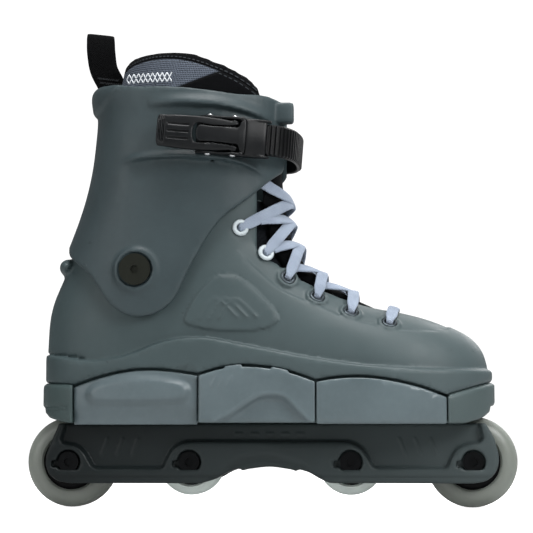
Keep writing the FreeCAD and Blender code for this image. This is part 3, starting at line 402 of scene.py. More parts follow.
def plastic(name, rgb, rough=0.5, grain=0.35, mottle=0.06, wear=0.0, wear_rgb=None, spec=0.45, toe=None, scratch=0.25):
    """Moulded plastic: cloudy colour, fine spark-eroded grain, hair scratches, polished and dusty patches, and with
    toe= a painted highlight that lightens the colour towards the toe.
    """
    t = NT(name)
    c = lin(*rgb)
    big = t.noise(22, 5, 0.6)
    sml = t.noise(260, 3, 0.6)
    col = t.mix(t.ramp(big, [(0.30, 0.0), (0.70, 1.0)]), scale_c(c, 1 - mottle * 2.2), scale_c(c, 1 + mottle * 2.2))
    col = t.mix(t.ramp(sml, [(0.45, 0.0), (0.75, 0.22)]), col, scale_c(c, 1.35))
    # painted light: toe= blends the colour towards a lighter tone along object X, a painted highlight standing in for
    # the front light on the forward part
    if toe:
        s = t.n("ShaderNodeSeparateXYZ")
        t.l(t.co, s.inputs[0])
        mr = t.n("ShaderNodeMapRange")
        mr.inputs["From Min"].default_value = -0.15
        mr.inputs["From Max"].default_value = 0.15
        t.l(s.outputs[0], mr.inputs["Value"])
        col = t.mix(mr.outputs[0], col, t.mix(0.75, col, lin(*toe)))
    vor = t.n("ShaderNodeTexVoronoi", feature="DISTANCE_TO_EDGE")
    vor.inputs["Scale"].default_value = 900
    t.l(t.co, vor.inputs["Vector"])
    # hair scratches, stretched along the length
    mp = t.n("ShaderNodeMapping")
    mp.inputs["Scale"].default_value = (18, 60, 420)
    mp.inputs["Rotation"].default_value = (0, 0.12, 0)
    t.l(t.co, mp.inputs[0])
    scr = t.ramp(t.noise(1.0, 6, 0.7, mp.outputs[0]), [(0.66, 0.0), (0.70, 1.0)])
    keep = t.ramp(t.noise(9, 2), [(0.48, 0.0), (0.66, 1.0)])
    scr = t.math("MULTIPLY", scr, keep)
    scr = t.math("MULTIPLY", scr, scratch)
    col = t.mix(t.math("MULTIPLY", scr, 0.35), col, scale_c(c, 1.9))
    if wear > 0:
        geo = t.n("ShaderNodeNewGeometry")
        edge = t.ramp(geo.outputs["Pointiness"], [(0.515, 0.0), (0.60, 1.0)])
        edge = t.math("MULTIPLY", edge, t.ramp(t.noise(70, 4), [(0.3, 0.25), (0.7, 1.0)]))
        col = t.mix(t.math("MULTIPLY", edge, wear), col, lin(*(wear_rgb or rgb)))
    r = t.mix(t.ramp(t.noise(45, 4), [(0.3, 0.0), (0.7, 1.0)]), (rough - 0.06,) * 3, (rough + 0.09,) * 3)
    r = t.mix(scr, r, (rough + 0.2,) * 3)
    g = t.bump(vor.outputs["Distance"], grain, 0.00012)
    g = t.bump(t.noise(1600, 2), grain * 0.6, 0.00008, g)
    g = t.bump(big, 0.10, 0.0008, g)
    return t.set(Base_Color=col, Roughness=r, Normal=g, Specular_IOR_Level=spec)


M = {}
# toe= on shell, sole and frame is painted light: the colour lightens towards the toe as if lit from the front
M["shell"] = plastic("shell_plastic", (50, 63, 65), 0.48, 0.30, 0.05, 0.18, (98, 108, 110), spec=0.30, toe=(70, 81, 83))
M["cuff"] = plastic("cuff_plastic", (47, 58, 61), 0.48, 0.30, 0.05, 0.18, (90, 100, 103), spec=0.28)
M["panel"] = plastic("panel_plastic", (78, 90, 94), 0.36, 0.22, 0.05, 0.15, (110, 120, 122), spec=0.42, scratch=0.6)
M["sole"] = plastic("sole_plastic", (50, 64, 64), 0.46, 0.30, 0.05, 0.18, (98, 108, 107), spec=0.30, toe=(70, 81, 82))
M["frame"] = plastic("frame_plastic", (14, 19, 20), 0.42, 0.35, 0.07, 0.35, (50, 57, 56), spec=0.15, toe=(68, 77, 78), scratch=0.5)
M["black"] = plastic("black_plastic", (6, 7, 8), 0.40, 0.30, 0.06, 0.35, (34, 36, 38), spec=0.18)
M["buckle"] = plastic("buckle_plastic", (12, 14, 16), 0.38, 0.45, 0.06, 0.4, (44, 48, 50), spec=0.22)
M["strap"] = plastic("strap_plastic", (5, 6, 7), 0.40, 0.35, 0.05, 0.5, (46, 49, 52), spec=0.16)
M["hub"] = plastic("hub_plastic", (4, 4, 5), 0.45, 0.30, 0.06, 0.3, (22, 24, 25), spec=0.10)
M["eyelet"] = plastic("eyelet_plastic", (172, 182, 186), 0.34, 0.12, 0.02, 0.0)


# ---------------------------------------------------------------- boot shell
def shell_lines():
    crease = [(-26, 172), (-14, 160.5), (0, 147.5), (8, 141), (20, 135.2), (34, 129.6), (48, 123.2), (62, 119.4),
              (78, 115.2), (92, 113.2), (104, 113.6), (115.6, 115.6)]
    return crease


PAD = [(-28, 150), (-37.5, 146.5), (-47, 136), (-53.9, 123.0), (-53.5, 118.8), (-48, 116.6), (-38, 114.4), (-24, 113.2),
       (-8, 113.8), (1.5, 116.2), (6.2, 120), (5.6, 125), (-1.5, 133.5), (-11, 142.5), (-19.5, 148.6)]


def closed_spl(pts, n=8):
    p = list(pts)
    q = spl([p[-1]] + p + [p[0], p[1]], n)
    return q[n:-n]


def make_shell():
    h = 1.25
    v = Vol((-155, -57, 69), (149, 57, 210), h)
    base = boot_field(v)
    side = np.sign(v.Y)
    # side-view detail fields
    pad = v.xz(poly_d, closed_spl(PAD))
    ribs = np.full(pad.shape, 1e3, np.float32)
    for k in range(3):
        s = 5.2 * (k - 1)
        ribs = np.minimum(ribs, v.xz(line_d, spl([(-38 + s * 1.2, 121), (-27.5 + s * 1.2, 134), (-13 + s * 1.2, 122)], 10)))
    facing = sstep((np.abs(v.Y) - 12) / 14)
    outer = base - 1.3 * sstep(-pad / 1.1 + 0.5) * facing + 0.45 * sstep(1 - np.abs(pad - 0.5) / 1.0) * facing
    outer = outer - 0.95 * sstep(1 - ribs / 1.2) * sstep(-pad / 6) * facing
    # recessed strip below the eyelets
    crease = shell_lines()
    top = [(-26, 172), (-40, 186), (-30, 230), (60, 230), (125, 150), (115.6, 115.6)]
    strip = v.xz(poly_d, np.vstack([spl(crease, 8), np.array(top[::-1])[1:-1][::1]]))
    outer = outer + (1.15 * sstep(-strip / 1.3 + 0.5) + 0.5 * sstep(1 - np.abs(strip) / 0.9)) * sstep((v.X + 24) / 14)
    # lower band with its rolled top edge
    bz = fn_line(v.x, BAND)[:, None, None]
    pd = plan_field(v) + 1.5
    band = smax(pd, v.Z - bz, 2.6)
    outer = smin(outer, band, 1.0)
    slit = v.xz(line_d, [(-156, 100.6), (-147, 100.3), (-132, 98.4), (-120.5, 96.4)])
    outer = smax(outer, -np.maximum(slit - 0.6, -outer - 1.5), 0.3)
    lower = v.xz(lambda x, z: 0 * x + z - 0)  # height
    # shadow slot above the sole panels
    sc = sc_z(v.x)[:, None, None]
    inside = -(plan_field(v) + PANEL_T + 0.3)
    room = np.maximum(v.Z - sc, inside)
    ends = sstep((-118 - v.X) / 6) + sstep((v.X - 112) / 5)
    outer = smax(outer, -room, 0.7 + 1.9 * ends)
    # nub under the cuff at the back
    nub = np.sqrt(((v.X + 134.5) / 6.4) ** 2 + (v.Y / 21.0) ** 2 + ((v.Z - 157.5) / 6.2) ** 2)
    outer = smin(outer, ((nub - 1) * 5.0).astype(np.float32), 2.2)
    # bosses
    for s in (-1, 1):
        rr = np.sqrt((v.X - ANK[0]) ** 2 + (v.Z - ANK[1]) ** 2)
        boss = np.maximum(rr - 10.5, np.abs(s * v.Y - 36) - 3.0)
        outer = smin(outer, boss.astype(np.float32), 1.0)
    hollow = np.maximum(base + SHELL_T, 77.0 - v.Z)
    f = smax(outer, -hollow, 0.8)
    # top edge
    topl = np.vstack([[(-170, 163.5)], spl([(-128, 164.5), (-118, 166), (-95, 176), (-60, 190), (-25, 203), (-4, 207), (25, 208)], 6),
                      [(60, 208), (60, 260), (-170, 260)]])
    f = smax(f, -v.xz(poly_d, topl), 1.0)
    # throat
    half = spl([(-8, 27.2), (-4, 27), (10, 24.0), (30, 20.5), (50, 17.5), (64, 14.5), (74, 9.5), (79, 3.5), (80.4, 0)], 8)
    tp = np.vstack([half, (half * [1, -1])[::-1]])
    th = np.maximum(v.xy(poly_d, tp), 112.0 - v.Z)
    f = smax(f, -th, 1.3)
    # eyelets
    holes = []
    for i, (x, z) in enumerate(EYE):
        for s in (-1, 1):
            p, nrm = hit(base, v, x, z, s)
            rel = (v.X - p[0], v.Y - p[1], v.Z - p[2])
            t = rel[0] * nrm[0] + rel[1] * nrm[1] + rel[2] * nrm[2]
            rr = np.sqrt(np.maximum(rel[0] ** 2 + rel[1] ** 2 + rel[2] ** 2 - t * t, 0))
            near = np.abs(t) < 12
            if i > 1:
                ring = np.where(near, np.maximum(rr - 7.4, np.abs(t + 2.4) - 2.7), 50).astype(np.float32)
                f = smin(f, ring, 0.8)
                f = smax(f, -np.where(near, np.maximum(rr - 5.5, -(t + 0.55)), 50).astype(np.float32), 0.4)
            else:
                f = smax(f, -np.where(near, np.maximum(rr - 5.7, -(t - 0.1)), 50).astype(np.float32), 0.4)
            f = smax(f, -np.where(near, rr - 3.3, 50).astype(np.float32), 0.3)
            holes.append((i, s, p, nrm))
    for s in (-1, 1):
        rr = np.sqrt((v.X - ANK[0]) ** 2 + (v.Z - ANK[1]) ** 2)
        f = np.maximum(f, -np.maximum(rr - 5.05, 20 - s * v.Y))
    for x in (-82.5, 82.5):
        f = np.maximum(f, -np.maximum(np.sqrt((v.X - x) ** 2 + v.Y ** 2) - 3.4, v.Z - 90))
    f = np.maximum(f, 72.05 - v.Z)
    ob = to_mesh("shell", f.astype(np.float32), v, "boot", ["boot_shell"], M["shell"], adapt=0.012)
    return base, v, holes


def sample(f, v, p):
    q = (np.asarray(p, float) - v.lo) / v.h
    q = np.clip(q, 0, np.array(v.shape) - 1.001)
    i = np.floor(q).astype(int)
    t = q - i
    r = 0.0
    for a in (0, 1):
        for b in (0, 1):
            for c in (0, 1):
                w = (t[0] if a else 1 - t[0]) * (t[1] if b else 1 - t[1]) * (t[2] if c else 1 - t[2])
                r += w * f[i[0] + a, i[1] + b, i[2] + c]
    return float(r)


def hit(f, v, x, z, s):
    """Point and outward normal where the form's surface is met from the side."""
    y, step = 56.0, 0.5
    while y > 2 and sample(f, v, (x, s * y, z)) > 0:
        y -= step
    lo, hi = y, y + step
    for _ in range(12):
        m = (lo + hi) / 2
        if sample(f, v, (x, s * m, z)) > 0:
            hi = m
        else:
            lo = m
    p = np.array([x, s * lo, z])
    e = 1.5
    g = np.array([sample(f, v, p + e * np.eye(3)[k]) - sample(f, v, p - e * np.eye(3)[k]) for k in range(3)])
    return p, g / np.linalg.norm(g)


# ---------------------------------------------------------------- cuff
KEEP = ([(-165, 300), (-165, 169.8), (-136, 169.8)] + list(map(tuple, spl([(-134.5, 169.4), (-131, 163), (-117, 151), (-109, 140), (-102, 131), (-93.4, 125), (-82.6, 122.6),
        (-71.6, 125), (-62.8, 131), (-57.4, 138.7), (-52, 150.7), (-45.4, 162.7), (-37.7, 176), (-28, 188.0),
        (-18.4, 195.5), (-9, 203), (-0.5, 211), (12.6, 222), (20, 227)], 6))) + [(22, 257)]
        + list(map(tuple, spl([(20, 257.5), (15, 258.8), (11.5, 261.5), (6, 265.5), (-4, 267.6), (-19, 267.2), (-38.5, 269.5), (-60, 271.8), (-86, 273.0), (-100, 275.6), (-111, 277.4), (-130, 278.2)], 6)))
        + [(-165, 300)])


def make_cuff():
    h = 1.25
    v = Vol((-142, -52, 117), (22, 52, 279), h)
    o = unit_grad(leg_field(v, CUFF), h)
    base = o.copy()
    facing = sstep((np.abs(v.Y) - 16) / 14)
    lat = sstep((-v.Y - 10) / 14)
    # lip over the hollow
    lip = spl([(-94, 222.4), (-86, 224.6), (-67, 225.6), (-47.6, 225.2), (-28, 223.8), (-14, 220.4), (-3, 214.6)], 8)
    lz = np.interp(v.x, lip[:, 0], lip[:, 1])[:, None, None]
    end = sstep((v.X + 98) / 16) * sstep((2 - v.X) / 16)
    dz = v.Z - lz
    hollow = np.where(dz < 0, sstep((dz + 34) / 33) * sstep(-dz / 1.1), 0.0)
    deep = np.maximum(np.sin(np.pi * np.clip((v.X + 96) / 96, 0, 1)), 0) ** 0.7
    dent = (4.0 * hollow * deep * end * facing).astype(np.float32)
    o = o + dent
    crest = np.where(dz > 0.6, sstep(1 - (dz - 0.6) / 5.0), sstep(1 - (0.6 - dz) / 1.8))
    o = o - (3.0 * crest * end * facing).astype(np.float32)
    # upper ridge with a crisp lower edge
    up = spl([(-78, 258.6), (-68, 258.9), (-52, 259.0), (-34, 258.0), (-19, 255.6), (-8, 252.6), (2, 249.4)], 8)
    uz = np.interp(v.x, up[:, 0], up[:, 1])[:, None, None]
    du = v.Z - uz
    prof = np.where(du > 0, sstep(du / 1.1) * sstep((9.5 - du) / 7.5), 0)
    wid = np.maximum(np.sin(np.pi * np.clip((v.X + 78) / 80, 0, 1)), 0) ** 0.6
    o = o - (3.9 * prof * wid * facing).astype(np.float32)
    o = o + (1.1 * sstep(1 - np.abs(du + 1.5) / 1.8) * wid * facing).astype(np.float32)
    # rolled shoulder at the back of the top
    shl = spl([(-122, 257.5), (-113, 260), (-106, 264.5), (-100, 270), (-96, 276)], 8)
    region = np.vstack([shl, [(-96, 290), (-150, 290), (-150, 257)]])
    sd = v.xz(poly_d, region)
    o = o - (1.9 * sstep(-sd / 4.0 + 0.35)).astype(np.float32)
    # ankle boss
    rr = np.sqrt((v.X - ANK[0]) ** 2 + (v.Z - ANK[1]) ** 2).astype(np.float32)
    for s in (-1, 1):
        boss = smax(rr - 13.6, np.abs(s * v.Y - 41.0) - 4.6, 2.0)
        o = smin(o, boss, 4.0)
    inner = base + CUFF_T + 0.62 * dent + (3.4 * sstep(-sd / 6.0 + 0.3) * sstep((-88 - v.X) / 14)).astype(np.float32)
    f = smax(o, -inner, 0.9)
    kk = (1.6 + 6.5 * sstep((-92 - v.X) / 16) * sstep((v.Z - 245) / 12)).astype(np.float32)
    f = smax(f, v.xz(poly_d, KEEP), kk)
    # lug for the strap at the front edge
    gap = v.xy(poly_d, [(60, -17), (-10, -17), (-22, -11), (-24, 0), (-22, 11), (-10, 17), (60, 17)])
    f = smax(f, -gap, 1.4)
    lug = np.maximum(np.maximum(np.abs(v.X - 10.5) - 5.6, np.abs(v.Y + 22.5) - 5.0), np.abs(v.Z - 257.3) - 6.9)
    lug = smax(smax(np.abs(v.X - 10.5) - 5.6, np.abs(v.Y + 22.5) - 5.0, 2.0), np.abs(v.Z - 257.3) - 6.9, 2.4)
    f = smin(f, lug.astype(np.float32), 1.6)
    for s in (-1, 1):
        f = smax(f, -np.maximum(rr - 11.15, 44.0 - s * v.Y), 0.5)
        f = np.maximum(f, -np.maximum(rr - 5.06, 20 - s * v.Y))
        f = np.maximum(f, -np.maximum(rr - 11.0, np.maximum(s * v.Y - 41.1, 20 - s * v.Y)))
    # strap anchor boss
    ra = np.sqrt((v.X + 33.0) ** 2 + (v.Z - 238.73) ** 2)
    ab = np.maximum(np.maximum(ra - 5.5, v.Y - 46.9), 42 - v.Y)
    f = smin(f, ab.astype(np.float32), 1.2)
    f = np.maximum(f, -np.maximum(ra - 1.6, 30 - v.Y))
    ob = to_mesh("cuff_shell", f.astype(np.float32), v, "cuff", ["cuff"], M["cuff"], adapt=0.012)
    return base, v


# ---------------------------------------------------------------- sole plate and panels
SIDE_P = [(-160, 95), (-160, 66.6), (-152.2, 66.6), (-151.0, 65.0), (-148.4, 64.4), (-147.6, 61.5), (-143.6, 58.0), (-136, 55.9), (-127, 54.2), (125, 54.2),
          (134, 56.6), (138.6, 58.8), (142.4, 62.0), (143.0, 65.3), (145.6, 66.2), (147.0, 67.6), (150, 67.8), (150, 95)]
SPANS = {"rear": (-127.0, -44.9), "middle": (-44.5, 30.7), "front": (31.1, 114.0)}
RIBS = {"rear": (-108, -66), "middle": (-27, 13), "front": (50, 90)}


def plan_w(x, s):
    return float(tab(np.array([x]), PLAN, 2 if s > 0 else 1)[0])


def make_sole():
    h = 1.1
    v = Vol((-155, -56, 52), (150, 56, 86), h)
    pd = plan_field(v)
    side = v.xz(poly_d, SIDE_P)
    sc = sc_z(v.x)[:, None, None]
    core = np.maximum(np.maximum(pd + PANEL_T + 0.3, v.Z - 72.0), 54.5 - v.Z)
    ring = smax(pd, -(pd + PANEL_T), 0.5)
    top = v.Z - (sc - 0.8)
    heel = smax(smax(ring, top, 2.7), v.X + 127.2, 0.5)
    toe = smax(smax(ring, top, 2.7), 114.5 - v.X, 0.5)
    f = np.minimum(core, np.minimum(heel, toe))
    lip = np.maximum(np.maximum(pd + 2.0, -(pd + PANEL_T)), v.Z - (sc - 0.03))
    lip = np.maximum(lip, np.minimum(v.X + 127.2, 114.5 - v.X))
    f = np.minimum(f, lip)
    link = np.maximum(np.maximum(pd + 0.6, v.Z - 71), np.minimum(v.X + 127.2, 114.5 - v.X))
    f = np.minimum(f, link)
    f = smax(f, side, 1.2)
    # fine grip lines on the heel end
    for z in (59.2, 61.2, 63.2, 65.2):
        g = np.abs(v.Z - z) - 0.34
        z1 = np.maximum(g, np.maximum(v.X + 130.5, -152 - v.X))
        f = smax(f, -np.maximum(z1, np.abs(pd) - 0.8), 0.3)
    for x in (-131.2, 131.2):
        f = smax(f, -np.maximum(np.sqrt((v.X - x) ** 2 + (v.Z - AXLE_Z) ** 2) - 32.0, np.abs(v.Y) - 13.6), 0.6)
    for x in (-82.5, 82.5):
        f = np.maximum(f, -(np.sqrt((v.X - x) ** 2 + v.Y ** 2) - 3.4 + 0 * v.Z))
    for key in SPANS:
        for s in (-1, 1):
            for x in RIBS[key]:
                yc = s * (plan_w(x, s) - PANEL_T - 5.0)
                r = np.sqrt((v.X - x) ** 2 + (v.Y - yc) ** 2)
                f = np.maximum(f, -np.maximum(r - 3.1, v.Z - 56.9))
    ob = to_mesh("sole", f.astype(np.float32), v, "boot", ["sole_plate"], M["sole"], adapt=0.01)


def make_panels():
    h = 0.9
    for key, (xa, xb) in SPANS.items():
        for s, nm in ((-1, "outer"), (1, "inner")):
            y0, y1 = (-57, -24) if s < 0 else (22, 52)
            v = Vol((xa - 3, y0, 51), (xb + 3, y1, 95), h)
            pd = plan_field(v)
            sc = sc_z(v.x)[:, None, None]
            o = pd.copy() + 0 * v.Z
            zb = 53.2 if key == "rear" else (54.6 if key == "middle" else 53.8)
            if key == "rear":
                pil = closed_spl([(-119, 74), (-112, 81.5), (-95, 85), (-76, 85.6), (-58, 83.5), (-50.5, 79.5), (-49, 73), (-54, 66.4), (-70, 65.2), (-90, 65.0), (-108, 65.2), (-115, 66.6)])
                pf = v.xz(poly_d, pil)
                o = o + 3.4 - 3.7 * sstep(-pf / 7.0 + 0.14) - 0.9 * sstep((v.Z - 80) / 5)
                o = o + 1.9 * sstep((67.5 - v.Z) / 13.0)
            elif key == "middle":
                arch = np.vstack([spl([(-38, 50), (-31, 55.5), (-22, 60.2), (-12, 66.8), (-5, 70.6), (3, 71.6), (11, 70.0), (18, 63.0), (24, 57.0), (29, 52)], 8)])
                af = v.xz(poly_d, arch)
                o = o + 0.35 + 3.4 * sstep(-af / 3.4 + 0.30) - 0.5 * sstep(1 - np.abs(af - 1.6) / 1.6)
                for k, xm in enumerate((-36, -31, -26)):
                    bar = v.xz(line_d, [(xm, 77.5), (xm + 3.4, 84.0)])
                    o = o - 0.7 * sstep(1 - bar / 1.15)
            else:
                o = o + 0.45 * sstep((60 - v.Z) / 7) + 0.3
            o = np.maximum(o, pd)
            f = smax(o, -(pd + PANEL_T), 0.4)
            f = smax(f, v.Z - (sc - 1.7), 0.7)
            f = smax(f, np.maximum(xa + 0.25 - v.X, v.X - xb + 0.25), 0.6)
            f = smax(f, zb - v.Z, 1.2)
            for x in RIBS[key]:
                w = plan_w(x, s)
                yc = s * (w - PANEL_T - 4.2)
                rib = np.maximum(np.maximum(np.abs(v.X - x) - 5, np.abs(v.Y - yc) - 4.8), np.abs(v.Z - 64) - 4)
                f = np.minimum(f, rib)
            if key == "middle":
                # little catches that bridge the gap to the shell
                for xc in (-22, 8):
                    tabf = np.maximum(np.maximum(np.abs(v.X - xc) - 5.6, v.Z - (sc - 0.25)), (sc - 3) - v.Z)
                    f = smin(f, np.maximum(tabf, np.abs(pd + 3.4) - 2.6), 0.3)
            nm2 = "side_panel_%s_%s" % (key, nm)
            ob = to_mesh("panel_%s_%s" % (key, nm), f.astype(np.float32), v, "boot", [nm2], M["panel"], adapt=0.008)


# ---------------------------------------------------------------- frame
F_OUT = ([(-137.4, 54.5), (-145.7, 34.4), (-145.9, 27.7)] + list(map(tuple, spl([(-145.7, 27.0), (-143.4, 21.5), (-138.4, 17.4), (-130.6, 15.7)], 6)))
         + [(-45, 15.7)] + list(map(tuple, spl([(-44, 15.9), (-34.6, 18.8), (-27.5, 22.8), (-21.5, 25.0)], 6)))
         + [(-18.8, 25.0), (-18.4, 23.8)] + list(map(tuple, spl([(-15, 24.8), (0, 26.4), (14, 24.6)], 6))) + [(17.6, 23.4), (18.2, 24.6)]
         + list(map(tuple, spl([(20.5, 24.4), (26, 22.6), (33.0, 18.5), (39, 16.0)], 6)))
         + list(map(tuple, spl([(131, 15.8), (139.5, 17.6), (145.2, 22.8), (147.4, 29.5), (147.3, 35)], 6))) + [(144.4, 45.3), (139.3, 54.5)])
POCKET = ([(-131.5, 62), (-134.5, 50), (-136.4, 45)] + list(map(tuple, spl([(-136.2, 43.6), (-134, 41.4), (-127, 40.0), (-121.7, 36.6), (-118, 31), (-116, 27.4), (-113, 25.5)], 6)))
          + [(-71, 25.5)] + list(map(tuple, spl([(-69, 26.2), (-66.8, 31.5), (-62.6, 38.2), (-56, 41.8), (-50, 42.6)], 6)))
          + [(50, 42.4)] + list(map(tuple, spl([(54, 41.6), (60, 37.6), (64.6, 30), (67, 26.6), (69.5, 25.5)], 6)))
          + [(113, 25.5)] + list(map(tuple, spl([(115, 26.6), (117.6, 33), (121.8, 38.4), (129, 41.2), (135, 41.8), (137.6, 44.2)], 6))) + [(136.5, 50), (133, 62)])


def make_frame():
    h = 0.95
    v = Vol((-149, -26, 13), (151, 26, 57), h)
    outl = v.xz(poly_d, F_OUT)
    pk = v.xz(poly_d, POCKET)
    wall = RAIL_Y - 5.6 * sstep(-pk / 2.6 + 0.4)
    # soft ribs in the pockets
    rib = np.full(pk.shape, 1e3, np.float32)
    for x in (-106, -96, -86, 84, 94, 104):
        rib = np.minimum(rib, v.xz(line_d, [(x, 44.5), (x + (4 if x > 0 else -4), 34.0)]))
    for x in (-20, -10, 0, 10, 20):
        rib = np.minimum(rib, v.xz(line_d, [(x - 2, 47.5), (x + 2, 47.5)]))
    wall = wall + 0.9 * sstep(1 - rib / 1.2) * sstep((-pk - 2) / 2)
    # rail edge chamfer along the bottom
    wall = wall - 1.3 * sstep((21.2 - v.Z) / 2.0) * (v.Z < 21.2)
    # arch flare under the middle
    arch = np.vstack([[(-46, 8), (-39.5, 20.0)], spl([(-38, 21.0), (-33, 23.4), (-27.6, 28.7), (-18.9, 33.3), (-9, 35.5), (0, 35.6), (10, 33.4), (21.7, 29.2), (30.4, 22.9), (35, 20.6)], 6), [(40, 8)]])
    af = v.xz(poly_d, arch)
    wall = wall - 4.6 * sstep(-af / 9.0 + 0.08)
    f = smax(outl, np.abs(v.Y) - wall, 1.1)
    ch = np.minimum(np.abs(v.Y) - WALL_IN, 50)
    wells = np.full(v.shape, 1e3, np.float32)
    for x in XS:
        r = (29.5 if abs(x) > 100 else 21.5) + 2.4
        c = np.sqrt((v.X - x) ** 2 + (v.Z - AXLE_Z) ** 2) - r
        b = np.maximum(np.abs(v.X - x) - r, v.Z - AXLE_Z)
        wells = np.minimum(wells, np.minimum(c, b) + 0 * v.Y)
    for xa, xb in ((-160, -131.2), (131.2, 160)):
        wells = np.minimum(wells, np.maximum(xa - v.X, v.X - xb) + 0 * v.Y + 0 * v.Z)
    for xa, xb in ((-103.5, -73), (73, 103.5)):
        wells = np.minimum(wells, np.maximum(np.maximum(xa - v.X, v.X - xb), v.Z - 44) + 0 * v.Y)
    f = smax(f, -np.maximum(wells, ch), 0.8)
    for x in XS:
        rr = np.sqrt((v.X - x) ** 2 + (v.Z - AXLE_Z) ** 2)
        head = smax(rr - 7.9, 24.4 - v.Z, 0.6)
        keyt = np.maximum(np.maximum(x - 11.0 - v.X, v.X - x), np.abs(v.Z - 28.2) - 2.1)
        head = np.minimum(head, keyt)
        f = smax(f, -np.maximum(head, 18.6 - np.abs(v.Y)), 0.4)
        f = np.maximum(f, -(rr - 4.05 + 0 * v.Y))
    for x in (-82.5, 82.5):
        f = np.maximum(f, -np.maximum(np.sqrt((v.X - x) ** 2 + v.Y ** 2) - 3.4, 40 - v.Z))
    ob = to_mesh("wheel_frame", f.astype(np.float32), v, "boot", ["frame_body"], M["frame"], adapt=0.01)


# ---------------------------------------------------------------- soft goods, rubber and metal finishes
def attr_vec(t, name):
    a = t.n("ShaderNodeAttribute", attribute_name=name)
    s = t.n("ShaderNodeSeparateXYZ")
    t.l(a.outputs["Vector"], s.inputs[0])
    return s.outputs


def weave(t, u, w, per_u, per_w):
    """Plain over-under weave from two length coordinates (any unit): height 0..1."""
    a = t.math("SINE", t.math("MULTIPLY", u, 2 * math.pi / per_u))
    b = t.math("SINE", t.math("MULTIPLY", w, 2 * math.pi / per_w))
    return t.math("MULTIPLY_ADD", t.math("MULTIPLY", a, b), 0.5, 0.5)


def fabric(name, rgb, rgb2, per=1.6, rough=0.88, sheen=0.02, strength=0.7, twill=False, fuzz=0.35):
    t = NT(name)
    s = t.n("ShaderNodeSeparateXYZ")
    t.l(t.co, s.inputs[0])
    x, y, z = (t.math("MULTIPLY", k, 1000.0) for k in s.outputs)
    run = t.math("SUBTRACT", x, y)
    if twill:
        d = t.math("MULTIPLY_ADD", z, 0.8, run)
        e = t.math("MULTIPLY_ADD", z, -0.9, run)
        h = weave(t, d, e, per, per)
    else:
        h = weave(t, run, z, per, per)
    big = t.noise(30, 4)
    fine = t.noise(2600, 2)
    col = t.mix(h, lin(*rgb), lin(*rgb2))
    col = t.mix(t.ramp(big, [(0.3, 0.0), (0.7, 0.35)]), col, scale_c(lin(*rgb), 0.7))
    col = t.mix(t.ramp(fine, [(0.50, 0.0), (0.8, fuzz)]), col, scale_c(lin(*rgb2), 1.5))
    g = t.bump(h, strength, 0.00035)
    g = t.bump(fine, 0.35, 0.00025, g)
    g = t.bump(big, 0.3, 0.0012, g)
    t.set(Base_Color=col, Roughness=t.mix(h, (rough - 0.05,) * 3, (rough + 0.08,) * 3), Normal=g, Specular_IOR_Level=0.04, Sheen_Weight=sheen, Sheen_Roughness=0.5)
    return t.m


def lace_mat(name, rgb, dark):
    """Flat woven braid: herringbone down the length with a raised selvedge."""
    t = NT(name)
    L, A, N = attr_vec(t, "lay")
    fold = t.math("ABSOLUTE", A)
    d = t.math("MULTIPLY_ADD", fold, 1.1, L)
    e = t.math("MULTIPLY_ADD", fold, -1.1, L)
    h = weave(t, d, e, 1.15, 2.3)
    rows = t.math("MULTIPLY_ADD", t.math("SINE", t.math("MULTIPLY", A, 7.5)), 0.5, 0.5)
    h = t.math("ADD", t.math("MULTIPLY", h, 0.7), t.math("MULTIPLY", rows, 0.3))
    big = t.noise(60, 4)
    fine = t.noise(3200, 2)
    col = t.mix(h, lin(*dark), lin(*rgb))
    col = t.mix(t.ramp(big, [(0.35, 0.0), (0.75, 0.5)]), col, scale_c(lin(*dark), 0.85))
    g = t.bump(h, 0.9, 0.0005)
    g = t.bump(fine, 0.4, 0.0002, g)
    t.set(Base_Color=col, Roughness=t.mix(h, (0.95,) * 3, (0.75,) * 3), Normal=g, Specular_IOR_Level=0.15, Sheen_Weight=0.12)
    return t.m


def web_mat(name, rgb, rgb2):
    t = NT(name)
    L, A, N = attr_vec(t, "lay")
    d = t.math("MULTIPLY_ADD", t.math("ABSOLUTE", t.math("SUBTRACT", t.math("FRACT", t.math("MULTIPLY", A, 0.24)), 0.5)), 4.2, L)
    h = t.math("MULTIPLY_ADD", t.math("SINE", t.math("MULTIPLY", d, 5.2)), 0.5, 0.5)
    r = t.math("MULTIPLY_ADD", t.math("SINE", t.math("MULTIPLY", A, 9.0)), 0.5, 0.5)
    h = t.math("ADD", t.math("MULTIPLY", h, 0.65), t.math("MULTIPLY", r, 0.35))
    fine = t.noise(3000, 2)
    col = t.mix(h, lin(*rgb), lin(*rgb2))
    g = t.bump(h, 0.9, 0.0005)
    g = t.bump(fine, 0.4, 0.0002, g)
    t.set(Base_Color=col, Roughness=0.85, Normal=g, Specular_IOR_Level=0.05, Sheen_Weight=0.02)
    return t.m


